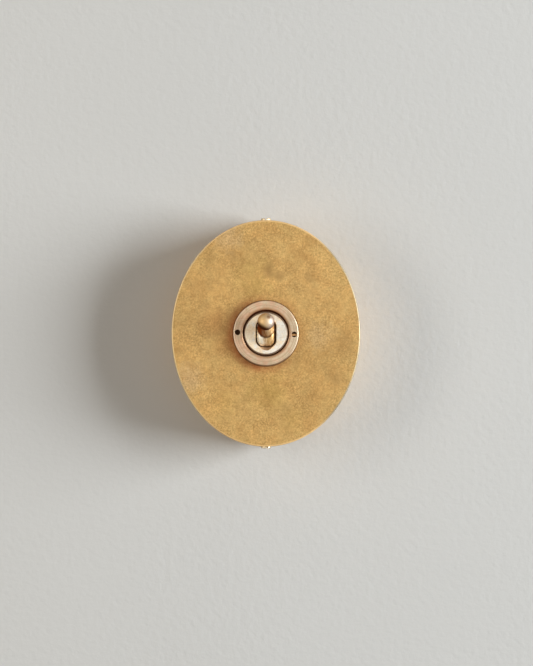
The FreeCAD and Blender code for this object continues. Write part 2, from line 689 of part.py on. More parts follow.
# Rocker with its cradle, arms and knuckle, built about its own pivot
rocker = new_body("rocker")
rocker_outline = new_sketch(rocker, "rocker_outline", "YZ_Plane")
ARM_BACK = "-dims.arm_offset"
ARM_FRONT = "-(dims.arm_offset + dims.arm_thickness)"
KNUCKLE_R = "dims.knuckle_diameter / 2"
upper_half = [
    (RIM_Y, RIM_Z),
    (ARM_FRONT, RIM_Z),
    (ARM_FRONT, "dims.arm_length"),
    (ARM_BACK, "dims.arm_length"),
    (ARM_BACK, KNUCKLE_R),
    ("0", KNUCKLE_R),
]
lower_half = [(forward, f"-{up}") for forward, up in reversed(upper_half)]
outline(rocker_outline, upper_half + lower_half)
grow(rocker, rocker_outline, "rocker_blank", "dims.rocker_width", both_ways=True)
knuckle = new_sketch(rocker, "knuckle_outline", "YZ_Plane")
circle(knuckle, "0", "0", KNUCKLE_R)
grow(rocker, knuckle, "knuckle", "dims.rocker_width", both_ways=True)
cradle = new_sketch(rocker, "cradle_outline", "YZ_Plane")
circle(cradle, CRADLE_Y, "0", CRADLE_R)
cut(rocker, cradle, "cradle", "dims.rocker_width", both_ways=True)
knuckle_hole = new_sketch(rocker, "knuckle_hole_place", "YZ_Plane")
circle(knuckle_hole, "0", "0", f"dims.rocker_pin_diameter / 2 + {TAPPED}")
cut(rocker, knuckle_hole, "knuckle_hole", "dims.rocker_width", both_ways=True)
put(rocker, forward=ROCKER, angle="dims.rocker_angle")

# Silver tips riveted to the backs of the rocker's arms
moving_tips = []
for end, sign in (("upper", ""), ("lower", "-")):
    tip = rod(f"rocker_tip_{end}", "dims.tip_diameter / 2", "dims.tip_height")
    put(tip, forward="dims.arm_offset", up=f"{sign}dims.contact_reach", angle="-90")
    moving_tips.append(tip)
rocker_tips = group("rocker_tips", moving_tips)
put(rocker_tips, forward=ROCKER, angle="dims.rocker_angle")

# Pin that the rocker tilts on, held in the ears of the common terminal
rocker_pin = rod("rocker_pin", "dims.rocker_pin_diameter / 2", f"2 * {EAR_OUTSIDE}")
put(rocker_pin, across=f"-{EAR_OUTSIDE}", forward=ROCKER, axis=vector(0, 1, 0), angle="90")

# Moulded base behind the flange, with the contact cavity and the terminal pockets
switch_base = new_body("switch_base")
base_round = new_sketch(switch_base, "base_outline", "XZ_Plane", BASE_BACK)
circle(base_round, "0", "0", "dims.flange_outer / 2")
grow(switch_base, base_round, "base_block", f"{FLANGE_BACK} - {BASE_BACK}")
cavity = new_sketch(switch_base, "cavity_outline", "XZ_Plane", FLANGE_BACK)
CAVITY_SIDE = "dims.cavity_width / 2"
CAVITY_END = "dims.cavity_height / 2"
rectangle(cavity, f"-{CAVITY_SIDE}", CAVITY_SIDE, f"-{CAVITY_END}", CAVITY_END)
cut(switch_base, cavity, "contact_cavity", f"{FLANGE_BACK} - {FLOOR}")
STRIP_HALF = f"(dims.strip_width / 2 + {TAPPED})"
NOTCHES = [
    ("upper", BLOCK_INSIDE, CONTACT_RISE),
    ("lower", BLOCK_INSIDE, f"-{CONTACT_RISE}"),
    ("common", f"-{BLOCK_INSIDE}", "0"),
]
for end, side, rise in NOTCHES:
    notch = new_sketch(switch_base, f"{end}_notch_outline", "XZ_Plane", FLANGE_BACK)
    near, far = (side, "0") if end == "common" else ("0", side)
    rectangle(notch, near, far, f"{rise} - {STRIP_HALF}", f"{rise} + {STRIP_HALF}")
    cut(switch_base, notch, f"{end}_notch", f"{FLANGE_BACK} - {FLOOR}")
BLOCK_PLACES = [
    ("upper", "dims.block_offset", "dims.block_rise", "1"),
    ("lower", "dims.block_offset", "-dims.block_rise", "1"),
    ("common", "-dims.block_offset", "0", "-1"),
]
POCKET_HALF = f"(dims.block_size / 2 + {TAPPED})"
for end, across, up, outward in BLOCK_PLACES:
    pocket = new_sketch(switch_base, f"{end}_pocket_outline", "XZ_Plane", BASE_BACK)
    rectangle(
        pocket, f"{across} - {POCKET_HALF}", f"{across} + {POCKET_HALF}",
        f"{up} - {POCKET_HALF}", f"{up} + {POCKET_HALF}",
    )
    cut(switch_base, pocket, f"{end}_pocket", f"dims.block_depth + {TAPPED}", reverse=True)
    window = new_sketch(switch_base, f"{end}_window_place", "YZ_Plane", across)
    circle(window, f"-{WIRE}", up, "dims.wire_window / 2")
    cut(switch_base, window, f"{end}_window", "dims.flange_outer / 2", reverse=outward == "1")
screw_ways = new_sketch(switch_base, "base_screw_ways", "XZ_Plane", BASE_BACK)
for across, up in BASE_SCREW_PLACES:
    circle(screw_ways, across, up, "dims.base_screw_diameter / 2 + dims.hole_clearance")
cut(switch_base, screw_ways, "base_screw_holes", f"{FLANGE_BACK} - {BASE_BACK}", reverse=True)

# Long screws from behind the base into the flange
long_screws = []
for number, (across, up) in enumerate(BASE_SCREW_PLACES, 1):
    screw = slotted_screw(
        f"base_screw_{number}", "dims.base_screw_diameter", f"({FLANGE_FRONT} - {BASE_BACK})",
        "dims.base_screw_head", "dims.base_screw_head_height",
    )
    put(screw, across=across, forward=BASE_BACK, up=up, angle="-90")
    long_screws.append(screw)
base_screws = group("base_screws", long_screws)


def terminal(label, across, up):
    """Brass block in its pocket, with a cross hole for the wire and a tapped hole behind."""
    body = new_body(label)
    face = new_sketch(body, f"{label}_face", "XZ_Plane", BASE_BACK)
    half = "dims.block_size / 2"
    rectangle(face, f"{across} - {half}", f"{across} + {half}", f"{up} - {half}", f"{up} + {half}")
    grow(body, face, f"{label}_block", "dims.block_depth")
    return body


def drill_terminal(body, across, up):
    label = body.Label
    wire_way = new_sketch(body, f"{label}_wire_place", "YZ_Plane", across)
    circle(wire_way, f"-{WIRE}", up, "dims.wire_hole / 2")
    cut(body, wire_way, f"{label}_wire_hole", "dims.block_size", both_ways=True)
    tap = new_sketch(body, f"{label}_tap_place", "XZ_Plane", BASE_BACK)
    circle(tap, across, up, f"dims.terminal_screw_diameter / 2 + {TAPPED}")
    cut(body, tap, f"{label}_tap", "dims.wire_depth", reverse=True)


# Two outer terminals, each with the arm that carries its fixed contact
outer_terminals = []
for end, across, up, outward in BLOCK_PLACES[:2]:
    rise = CONTACT_RISE if end == "upper" else f"-{CONTACT_RISE}"
    item = terminal(f"{end}_terminal", across, up)
    arm = new_sketch(item, f"{end}_arm_outline", "XZ_Plane", FLOOR)
    rectangle(
        arm, "-dims.strip_width / 2", BLOCK_INSIDE,
        f"{rise} - dims.strip_width / 2", f"{rise} + dims.strip_width / 2",
    )
    grow(item, arm, f"{end}_arm", "dims.strip_thickness")
    drill_terminal(item, across, up)
    outer_terminals.append(item)

# Common terminal, with a strip across the floor and two ears for the rocker's pin
common_across = BLOCK_PLACES[2][1]
common_terminal = terminal("common_terminal", common_across, "0")
strip = new_sketch(common_terminal, "common_strip_outline", "XZ_Plane", FLOOR)
rectangle(strip, f"-{BLOCK_INSIDE}", EAR_OUTSIDE, "-dims.strip_width / 2", "dims.strip_width / 2")
grow(common_terminal, strip, "common_strip", "dims.bracket_thickness")
for side, near, far in (
    ("left", f"-{EAR_OUTSIDE}", f"-{EAR_INSIDE}"),
    ("right", EAR_INSIDE, EAR_OUTSIDE),
):
    ear = new_sketch(common_terminal, f"{side}_ear_outline", "XZ_Plane", FLOOR)
    rectangle(ear, near, far, f"-{KNUCKLE_R}", KNUCKLE_R)
    grow(common_terminal, ear, f"{side}_ear", f"{ROCKER} - {FLOOR} + {KNUCKLE_R}")
ear_holes = new_sketch(common_terminal, "ear_hole_place", "YZ_Plane")
circle(ear_holes, f"-{ROCKER}", "0", f"dims.rocker_pin_diameter / 2 + {TAPPED} / 2")
cut(common_terminal, ear_holes, "ear_holes", f"2 * {EAR_OUTSIDE}", both_ways=True)
drill_terminal(common_terminal, common_across, "0")

# Silver tips riveted to the two fixed arms
still_tips = []
for end, sign in (("upper", ""), ("lower", "-")):
    tip = rod(f"fixed_tip_{end}", "dims.tip_diameter / 2", "dims.fixed_tip_height")
    put(tip, forward=STRIP_FACE, up=f"{sign}{CONTACT_RISE}", angle="90")
    still_tips.append(tip)
fixed_tips = group("fixed_tips", still_tips)

# Headless screws that clamp the wires from behind
clamp_screws = []
for end, across, up, outward in BLOCK_PLACES:
    screw = grub_screw(
        f"clamp_screw_{end}", "dims.terminal_screw_diameter", "dims.terminal_screw_length"
    )
    put(screw, across=across, forward=f"{BASE_BACK} - dims.terminal_screw_proud", up=up, angle="-90")
    clamp_screws.append(screw)
terminal_screws = group("terminal_screws", clamp_screws)

doc.recompute()

NODES = [
    cover, back_plate, cover_screws, cable_grommet, earth_terminal, earth_screw,
    locking_ring, nose_bush, fibre_washer, dolly, pivot_pin, plunger, plunger_spring,
    rocker, rocker_tips, rocker_pin, switch_base, base_screws,
    *outer_terminals, common_terminal, fixed_tips, terminal_screws,
]
for item in doc.Objects:
    if "Invalid" in item.State or "Error" in item.State:
        raise RuntimeError(f"{item.Label} failed: {item.State}")
for node in NODES:
    if node.Shape.isNull() or not node.Shape.isValid():
        raise RuntimeError(f"{node.Label} has no valid shape")
    node.Shape.exportStep(f"parts/{node.Label}.step")
    print(node.Label, len(node.Shape.Solids), round(node.Shape.Volume, 2), node.Shape.BoundBox)
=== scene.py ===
import math

import bmesh
import bpy
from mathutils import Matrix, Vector


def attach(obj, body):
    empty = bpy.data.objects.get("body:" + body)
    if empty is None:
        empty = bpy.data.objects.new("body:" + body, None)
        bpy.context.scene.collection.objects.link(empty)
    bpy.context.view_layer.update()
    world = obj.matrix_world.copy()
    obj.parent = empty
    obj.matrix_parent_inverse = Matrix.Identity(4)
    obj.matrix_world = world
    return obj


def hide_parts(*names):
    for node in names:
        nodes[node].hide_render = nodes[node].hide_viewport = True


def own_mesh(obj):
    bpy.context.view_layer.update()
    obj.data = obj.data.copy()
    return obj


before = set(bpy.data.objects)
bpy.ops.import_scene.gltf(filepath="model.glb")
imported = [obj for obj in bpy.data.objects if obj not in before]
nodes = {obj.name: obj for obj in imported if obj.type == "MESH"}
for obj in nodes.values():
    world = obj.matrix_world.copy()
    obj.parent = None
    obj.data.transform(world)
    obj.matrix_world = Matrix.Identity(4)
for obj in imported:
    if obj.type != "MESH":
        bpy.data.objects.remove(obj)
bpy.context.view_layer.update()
bpy.ops.object.select_all(action="DESELECT")

# Back plate: an oval of mild steel, pressed and folded, then zinc plated. It is screwed
# to the wall through two slots, and its folded lugs take the cover's screws. The screws
# inside the switch have the same plating.
ZINC_DARK = (0.40, 0.41, 0.41)
ZINC_PALE = (0.56, 0.57, 0.57)
ZINC_HAZE = (0.46, 0.43, 0.36)


def new_finish(name):
    """A material, its node tree and its shader."""
    finish = bpy.data.materials.new(name)
    finish.use_nodes = True
    return finish, finish.node_tree, finish.node_tree.nodes["Principled BSDF"]


def feed(tree, socket, value):
    """Links a socket to another one, or sets its own value."""
    if isinstance(value, bpy.types.NodeSocket):
        tree.links.new(value, socket)
    elif socket.type == "RGBA":
        socket.default_value = (*value, 1)
    else:
        socket.default_value = value


def object_place(tree):
    """Where a point lies in its object, in metres."""
    return tree.nodes.new("ShaderNodeTexCoord").outputs["Object"]


def stretched(tree, place, scale, turn=(0, 0, 0)):
    """A place, scaled and turned."""
    mapping = tree.nodes.new("ShaderNodeMapping")
    feed(tree, mapping.inputs["Vector"], place)
    feed(tree, mapping.inputs["Rotation"], turn)
    feed(tree, mapping.inputs["Scale"], scale)
    return mapping.outputs["Vector"]


def noise(tree, place, scale, detail=3, rough=0.55, warp=0):
    """A cloudy pattern of values about 0.5."""
    made = tree.nodes.new("ShaderNodeTexNoise")
    feed(tree, made.inputs["Vector"], place)
    feed(tree, made.inputs["Scale"], scale)
    feed(tree, made.inputs["Detail"], detail)
    feed(tree, made.inputs["Roughness"], rough)
    feed(tree, made.inputs["Distortion"], warp)
    return made.outputs["Fac"]


def between(tree, value, low, high, at_low=0, at_high=1):
    """Takes low..high smoothly to at_low..at_high."""
    made = tree.nodes.new("ShaderNodeMapRange")
    made.interpolation_type = "SMOOTHSTEP"
    feed(tree, made.inputs["Value"], value)
    feed(tree, made.inputs["From Min"], low)
    feed(tree, made.inputs["From Max"], high)
    feed(tree, made.inputs["To Min"], at_low)
    feed(tree, made.inputs["To Max"], at_high)
    return made.outputs["Result"]


def calc(tree, operation, first, second=0.0):
    """One step of arithmetic."""
    made = tree.nodes.new("ShaderNodeMath")
    made.operation = operation
    feed(tree, made.inputs[0], first)
    feed(tree, made.inputs[1], second)
    return made.outputs["Value"]


def blend(tree, share, first, second):
    """First colour where share is 0, second where it is 1."""
    made = tree.nodes.new("ShaderNodeMix")
    made.data_type = "RGBA"
    feed(tree, made.inputs[0], share)
    feed(tree, made.inputs[6], first)
    feed(tree, made.inputs[7], second)
    return made.outputs[2]


def raise_surface(tree, shader, height, distance):
    """Gives the shader a fine relief. The mesh stays as it is."""
    made = tree.nodes.new("ShaderNodeBump")
    feed(tree, made.inputs["Distance"], distance)
    feed(tree, made.inputs["Height"], height)
    feed(tree, shader.inputs["Normal"], made.outputs["Normal"])


zinc, tree, shader = new_finish("zinc_plated_steel")
place = object_place(tree)
spangle = noise(tree, place, scale=160, detail=2, rough=0.4, warp=0.6)
haze = noise(tree, place, scale=22, detail=4)
rub = noise(tree, stretched(tree, place, scale=(1, 1, 20), turn=(0, 0.5, 0)), scale=70, detail=3)
zinc_tone = blend(tree, spangle, ZINC_DARK, ZINC_PALE)
zinc_tone = blend(tree, between(tree, haze, 0.5, 0.8), zinc_tone, ZINC_HAZE)
feed(tree, shader.inputs["Base Color"], zinc_tone)
zinc_rough = between(tree, spangle, 0.3, 0.7, 0.36, 0.52)
zinc_rough = calc(tree, "ADD", zinc_rough, between(tree, rub, 0.6, 0.75, 0, 0.12))
feed(tree, shader.inputs["Roughness"], zinc_rough)
shader.inputs["Metallic"].default_value = 0.85
raise_surface(tree, shader, noise(tree, place, scale=900, detail=2), distance=0.00003)
for name in ("back_plate", "earth_screw", "base_screws", "terminal_screws"):
    nodes[name].data.materials[0] = zinc

# Grommet: moulded black rubber with two rounded lips, pushed into the raised seat of
# the back plate, where the groove between the lips grips the edge of the hole.
CABLE_RISE = 0.032
GROMMET_BORE = 0.006
GROMMET_NECK = 0.010
GROMMET_LIP = 0.0125
LIP_BACK, SEAT_BACK, SEAT_FRONT, LIP_FRONT = 0.0005, 0.0020, 0.0035, 0.0050
LIP_ROUND = 0.0006
BORE_ROUND = 0.0004
SMOOTH_UP_TO = math.radians(35)
RUBBER_BLACK = (0.012, 0.012, 0.012)
RUBBER_BLOOM = (0.04, 0.039, 0.036)


def turned(name, steps, corners, ends="joined"):
    """Turns a profile about the line out of the wall: a circle, extruded from step to step.

    A step is the half width, the half height and the distance in front of the wall. The two
    ends of the profile are joined to each other, or each is closed with a face.
    """
    bpy.ops.object.select_all(action="DESELECT")
    wide, high, forward = steps[0]
    bpy.ops.mesh.primitive_circle_add(vertices=corners, radius=1, rotation=(math.pi / 2, 0, 0))
    piece = bpy.context.object
    piece.name = name
    piece.scale = (wide, high, 1)
    piece.location = (0, -forward, 0)
    bpy.ops.object.transform_apply(location=True, rotation=True, scale=True)
    bpy.ops.object.mode_set(mode="EDIT")
    bpy.ops.mesh.select_mode(type="EDGE")
    bpy.ops.mesh.select_all(action="SELECT")
    for next_wide, next_high, next_forward in steps[1:]:
        bpy.ops.mesh.extrude_region_move(TRANSFORM_OT_translate={"value": (0, forward - next_forward, 0)})
        growth = (next_wide / wide, 1, next_high / high)
        bpy.ops.transform.resize(value=growth, center_override=(0, -next_forward, 0))
        wide, high, forward = next_wide, next_high, next_forward
    bpy.ops.mesh.select_all(action="DESELECT")
    bpy.ops.mesh.select_non_manifold(use_verts=False)
    if ends == "joined":
        bpy.ops.mesh.bridge_edge_loops()
    else:
        bpy.ops.mesh.fill_holes(sides=0)
    bpy.ops.mesh.select_all(action="SELECT")
    bpy.ops.mesh.normals_make_consistent(inside=False)
    bpy.ops.object.mode_set(mode="OBJECT")
    return piece


def near(value, goal, slack=0.00001):
    """Whether a measure is what it should be, give or take a little."""
    return abs(value - goal) < slack


def from_axis(at):
    """Distance from the line out of the wall."""
    return math.hypot(at.x, at.z)


def soften(piece, size, segments, wanted):
    """Rounds the edges that run round the piece with both ends where they are wanted."""
    bpy.context.view_layer.objects.active = piece
    bpy.ops.object.mode_set(mode="EDIT")
    bpy.ops.mesh.select_mode(type="EDGE")
    bpy.ops.mesh.select_all(action="DESELECT")
    work = bmesh.from_edit_mesh(piece.data)
    for edge in work.edges:
        start, end = (corner.co for corner in edge.verts)
        if near(start.y, end.y) and wanted(start) and wanted(end):
            edge.select_set(True)
    bmesh.update_edit_mesh(piece.data)
    bpy.ops.mesh.bevel(offset=size, segments=segments, affect="EDGES", clamp_overlap=False)
    bpy.ops.object.mode_set(mode="OBJECT")


def smooth(piece):
    """Smooth shading that keeps flat faces flat beside their rounded edges."""
    bpy.ops.object.select_all(action="DESELECT")
    piece.select_set(True)
    bpy.context.view_layer.objects.active = piece
    bpy.ops.object.shade_smooth_by_angle(angle=SMOOTH_UP_TO)
    bpy.ops.object.modifier_add(type="WEIGHTED_NORMAL")
    flat_first = piece.modifiers[-1]
    flat_first.keep_sharp = True
    bpy.ops.object.modifier_apply(modifier=flat_first.name)


def stand_for(piece, node, body="housing"):
    """The finished piece takes the place of a node of the solid model."""
    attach(piece, body)
    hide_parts(node)


grommet = turned("rubber_grommet", [
    (GROMMET_BORE, GROMMET_BORE, LIP_BACK),
    (GROMMET_LIP, GROMMET_LIP, LIP_BACK),
    (GROMMET_LIP, GROMMET_LIP, SEAT_BACK),
    (GROMMET_NECK, GROMMET_NECK, SEAT_BACK),
    (GROMMET_NECK, GROMMET_NECK, SEAT_FRONT),
    (GROMMET_LIP, GROMMET_LIP, SEAT_FRONT),
    (GROMMET_LIP, GROMMET_LIP, LIP_FRONT),
    (GROMMET_BORE, GROMMET_BORE, LIP_FRONT),
], corners=96)
soften(grommet, LIP_ROUND, segments=5, wanted=lambda at: near(from_axis(at), GROMMET_LIP))
soften(grommet, BORE_ROUND, segments=4, wanted=lambda at: near(from_axis(at), GROMMET_BORE))
grommet.location.z = CABLE_RISE
bpy.ops.object.transform_apply(location=True, rotation=False, scale=False)
smooth(grommet)
rubber, tree, shader = new_finish("black_rubber")
place = object_place(tree)
bloom = noise(tree, place, scale=60, detail=5)
feed(tree, shader.inputs["Base Color"], blend(tree, bloom, RUBBER_BLACK, RUBBER_BLOOM))
feed(tree, shader.inputs["Roughness"], between(tree, bloom, 0.3, 0.7, 0.55, 0.75))
raise_surface(tree, shader, noise(tree, place, scale=1500, detail=3), distance=0.00004)
grommet.data.materials.append(rubber)
stand_for(grommet, "cable_grommet")

# Switch base: a round block of dark brown phenolic, moulded with the pockets for the
# contacts and terminals, with a faint flow pattern and a soft gloss. Two screws hold it
# to the flange.
PHENOLIC_TONES = ((0.012, 0.008, 0.006), (0.05, 0.026, 0.014))


def mottled_finish(name, pattern, tones, rough, relief, metal=0):
    """A material whose colour, roughness and relief all follow one pattern of noise."""
    finish, tree, shader = new_finish(name)
    mottle = noise(tree, object_place(tree), *pattern)
    feed(tree, shader.inputs["Base Color"], blend(tree, mottle, *tones))
    feed(tree, shader.inputs["Roughness"], between(tree, mottle, 0.3, 0.7, *rough))
    shader.inputs["Metallic"].default_value = metal
    raise_surface(tree, shader, mottle, distance=relief)
    return finish


nodes["switch_base"].data.materials[0] = mottled_finish(
    "dark_moulding", pattern=(130, 5, 0.6, 1.5), tones=PHENOLIC_TONES, rough=(0.3, 0.45), relief=0.00002,
)

# Terminals, earth block and rocker: bright brass bar and strip, cut, drilled and tapped,
# with the marks of the drawing die and a little dullness.
BAR_BRIGHT = (0.78, 0.56, 0.22)
BAR_DULL = (0.58, 0.38, 0.14)
bar_brass, tree, shader = new_finish("terminal_brass")
place = object_place(tree)
drawn = noise(tree, stretched(tree, place, scale=(900, 900, 60)), scale=1, detail=3)
dull = noise(tree, place, scale=90, detail=4)
feed(tree, shader.inputs["Base Color"], blend(tree, dull, BAR_BRIGHT, BAR_DULL))
feed(tree, shader.inputs["Roughness"], between(tree, drawn, 0.2, 0.8, 0.2, 0.38))
shader.inputs["Metallic"].default_value = 1
raise_surface(tree, shader, drawn, distance=0.00001)
for name in ("earth_terminal", "upper_terminal", "lower_terminal", "common_terminal", "rocker"):
    nodes[name].data.materials[0] = bar_brass

# Contact tips: small pads of fine silver, riveted to the rocker and to the terminals' arms.
# The sparks of switching have greyed them.
SILVER_TONES = ((0.88, 0.86, 0.82), (0.55, 0.53, 0.5))
silver = mottled_finish(
    "contact_silver", pattern=(1200, 4), tones=SILVER_TONES, rough=(0.25, 0.5), relief=0.00002, metal=1,
)
for name in ("rocker_tips", "fixed_tips"):
    nodes[name].data.materials[0] = silver

# Rocker pin and plunger: bright drawn steel, lightly oiled, with dark oil left in the low
# places of its drawn surface.
STEEL_TONES = ((0.62, 0.62, 0.62), (0.45, 0.43, 0.4))
steel = mottled_finish(
    "bright_steel", pattern=(300, 4), tones=STEEL_TONES, rough=(0.18, 0.34), relief=0.00001, metal=1,
)
for name in ("plunger", "rocker_pin"):
    nodes[name].data.materials[0] = steel

# Plunger spring: a coil of the same steel in the bore of the lever's tail. It lies between
# the blind end of the bore and the plunger, which in the switch squeezes it shorter; here it keeps one
# length and moves with the lever.
PIVOT_FORWARD = 0.0354
LEVER_TILT = math.radians(24)
WIRE_RADIUS = 0.00025
COIL_RADIUS = 0.0016
COIL_START, COIL_END = 0.0033, 0.0087
COIL_TURNS = 6
STEPS_A_TURN = 32


def wind(piece, pitch, turns):
    """Winds the active piece's outline round the line out of the wall, as wire on a rod."""
    winding = piece.modifiers.new("winding", "SCREW")
    winding.axis = "Y"
    winding.screw_offset = pitch
    winding.iterations = turns
    winding.steps = STEPS_A_TURN
    winding.render_steps = STEPS_A_TURN
    bpy.ops.object.modifier_apply(modifier=winding.name)


bpy.ops.object.select_all(action="DESELECT")
bpy.ops.mesh.primitive_circle_add(vertices=16, radius=WIRE_RADIUS, location=(COIL_RADIUS, COIL_START, 0))
spring = bpy.context.object
spring.name = "plunger_coil"
bpy.ops.object.transform_apply(location=True, rotation=False, scale=False)
wind(spring, (COIL_END - COIL_START) / COIL_TURNS, COIL_TURNS)
bpy.ops.object.mode_set(mode="EDIT")
bpy.ops.mesh.select_mode(type="EDGE")
bpy.ops.mesh.select_all(action="DESELECT")
bpy.ops.mesh.select_non_manifold(use_verts=False)
bpy.ops.mesh.fill_holes(sides=0)
bpy.ops.mesh.select_all(action="SELECT")
bpy.ops.mesh.normals_make_consistent(inside=False)
bpy.ops.object.mode_set(mode="OBJECT")
spring.rotation_euler.x = -LEVER_TILT
spring.location.y = -PIVOT_FORWARD
bpy.ops.object.transform_apply(location=True, rotation=True, scale=False)
smooth(spring)
spring.data.materials.append(steel)
stand_for(spring, "plunger_spring", "lever")
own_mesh(spring)

# Pivot pin: the same steel, pressed across the nose, and gone dark with old grease because
# it lies open in the slot.
GREASE_TONES = ((0.018, 0.012, 0.008), (0.06, 0.04, 0.026))
nodes["pivot_pin"].data.materials[0] = mottled_finish(
    "greased_steel", pattern=(500, 4), tones=GREASE_TONES, rough=(0.6, 0.75), relief=0.00002, metal=0.3,
)

# Washer: a ring of red vulcanised fibre, punched from sheet. It lies between the flange and
# the inside of the cover, and the ring nut clamps it there.
FIBRE_TONES = ((0.16, 0.03, 0.02), (0.32, 0.08, 0.05))
nodes["fibre_washer"].data.materials[0] = mottled_finish(
    "red_fibre", pattern=(700, 5), tones=FIBRE_TONES, rough=(0.62, 0.8), relief=0.00004,
)

# Nose: a pale brass bush, turned, slotted for the lever and scooped out above and below
# the slot. Fingers keep its face clean, and dirt stays in the slot and the groove.
NOSE_FACE = 0.038
NOSE_WARM_LIGHT = ((0.91, 0.70, 0.455), (1.0, 0.85, 0.62))
NOSE_COOL_LIGHT = ((0.85, 0.735, 0.58), (0.95, 0.90, 0.79))
NOSE_PIT = (0.55, 0.40, 0.24)
NOSE_SCRATCH = (0.88, 0.78, 0.6)
NOSE_SPECK = (0.3, 0.18, 0.08)
NOSE_TOP = (0.55, 0.34, 0.13)
NOSE_RIM_DIRT_AND_SHADE = (0.09, 0.036, 0.014)
NOSE_FILM = (0.44, 0.23, 0.085)
NOSE_DIRT = (0.11, 0.055, 0.025)
GROOVE_DIRT = (0.065, 0.021, 0.007)


def new_group(name, values, results):
    """A shader node group with number inputs and number outputs."""
    group = bpy.data.node_groups.new(name, "ShaderNodeTree")
    for title, start in values.items():
        socket = group.interface.new_socket(title, in_out="INPUT", socket_type="NodeSocketFloat")
        socket.default_value = start
    for title in results:
        group.interface.new_socket(title, in_out="OUTPUT", socket_type="NodeSocketFloat")
    return group, group.nodes.new("NodeGroupInput").outputs, group.nodes.new("NodeGroupOutput").inputs


def use_group(tree, group, **values):
    """Places a node group in a material, with its own values."""
    made = tree.nodes.new("ShaderNodeGroup")
    made.node_tree = group
    for title, value in values.items():
        feed(tree, made.inputs[title], value)
    return made.outputs


def axes(tree, place):
    """The X, Y and Z of a place."""
    made = tree.nodes.new("ShaderNodeSeparateXYZ")
    feed(tree, made.inputs["Vector"], place)
    return made.outputs


# Marks that the worn pieces share, each at its own size
old_metal, given, result = new_group(
    "old_metal", {"Size": 1.0}, ("Clouds", "Mottle", "Grain", "Specks", "Scratches"),
)
place = object_place(old_metal)
sized = old_metal.nodes.new("ShaderNodeVectorMath")
sized.operation = "SCALE"
feed(old_metal, sized.inputs[0], place)
feed(old_metal, sized.inputs["Scale"], given["Size"])
place = sized.outputs[0]
feed(old_metal, result["Clouds"], noise(old_metal, place, scale=24, detail=3, rough=0.5, warp=0.3))
feed(old_metal, result["Mottle"], noise(old_metal, place, scale=110, detail=5, rough=0.62, warp=0.4))
feed(old_metal, result["Grain"], noise(old_metal, place, scale=1000, detail=4, rough=0.75))
specks = noise(old_metal, place, scale=850, detail=1, rough=0.4)
feed(old_metal, result["Specks"], between(old_metal, specks, 0.68, 0.76))
lines = 0.0
for turn in (0.35, -0.9, 1.3):
    combed = stretched(old_metal, place, scale=(1, 1, 26), turn=(0, turn, 0))
    hair = noise(old_metal, combed, scale=45, detail=3, rough=0.6, warp=0.2)
    lines = calc(old_metal, "MAXIMUM", between(old_metal, hair, 0.64, 0.71), lines)
feed(old_metal, result["Scratches"], lines)

# Rings left by the turning tool, and the distance from the middle
lathe_marks, given, result = new_group("lathe_marks", {"Spacing": 0.0003}, ("Rings", "Radius"))
where = axes(lathe_marks, object_place(lathe_marks))
across_squared = calc(lathe_marks, "MULTIPLY", where["X"], where["X"])
up_squared = calc(lathe_marks, "MULTIPLY", where["Z"], where["Z"])
radius = calc(lathe_marks, "SQRT", calc(lathe_marks, "ADD", across_squared, up_squared))
rings = lathe_marks.nodes.new("ShaderNodeTexNoise")
rings.noise_dimensions = "1D"
feed(lathe_marks, rings.inputs["W"], radius)
feed(lathe_marks, rings.inputs["Scale"], calc(lathe_marks, "DIVIDE", 1.0, given["Spacing"]))
feed(lathe_marks, rings.inputs["Detail"], 3)
feed(lathe_marks, result["Rings"], rings.outputs["Fac"])
feed(lathe_marks, result["Radius"], radius)

# Dirt that grows with the depth below a face
recess_dirt, given, result = new_group("recess_dirt", {"Face": NOSE_FACE, "Depth": 0.001}, ("Dirt",))
where = axes(recess_dirt, object_place(recess_dirt))
sunk = calc(recess_dirt, "ADD", where["Y"], given["Face"])
sunk = calc(recess_dirt, "DIVIDE", sunk, given["Depth"])
feed(recess_dirt, result["Dirt"], between(recess_dirt, sunk, 0.04, 1))

nose_brass, tree, shader = new_finish("nose_brass")
marks = use_group(tree, old_metal, Size=2.2)
turning = use_group(tree, lathe_marks, Spacing=0.0004)
dirt = use_group(tree, recess_dirt, Depth=0.0045)["Dirt"]
groove_dirt = use_group(tree, recess_dirt, Depth=0.0012)["Dirt"]
groove_dirt = calc(tree, "MULTIPLY", groove_dirt, between(tree, turning["Radius"], 0.0111, 0.0113))
brown_film = use_group(tree, recess_dirt, Depth=0.0004)["Dirt"]
where = axes(tree, object_place(tree))

# Creamy metal in soft patches, painted warmer to the left and cooler to the right as the tints of the warm
# left light and the cool right light
shine = between(tree, marks["Mottle"], 0.3, 0.7)
warm = blend(tree, shine, *NOSE_WARM_LIGHT)
cool = blend(tree, shine, *NOSE_COOL_LIGHT)
cast = calc(tree, "SUBTRACT", noise(tree, object_place(tree), scale=340, detail=4, rough=0.7), 0.5)
cast = calc(tree, "MULTIPLY", cast, 8)
cast = calc(tree, "ADD", cast, between(tree, where["X"], -0.009, 0.009))
cream = blend(tree, cast, warm, cool)

# Fine pits, scratches and specks, and a brown cast near the top
pits = noise(tree, object_place(tree), scale=1100, detail=3, rough=0.6)
cream = blend(tree, between(tree, pits, 0.46, 0.66, 0, 0.3), cream, NOSE_PIT)
cream = blend(tree, calc(tree, "MULTIPLY", marks["Scratches"], 0.35), cream, NOSE_SCRATCH)
cream = blend(tree, calc(tree, "MULTIPLY", marks["Specks"], 0.4), cream, NOSE_SPECK)
cream = blend(tree, between(tree, where["Z"], 0.0055, 0.0110, 0, 0.4), cream, NOSE_TOP)
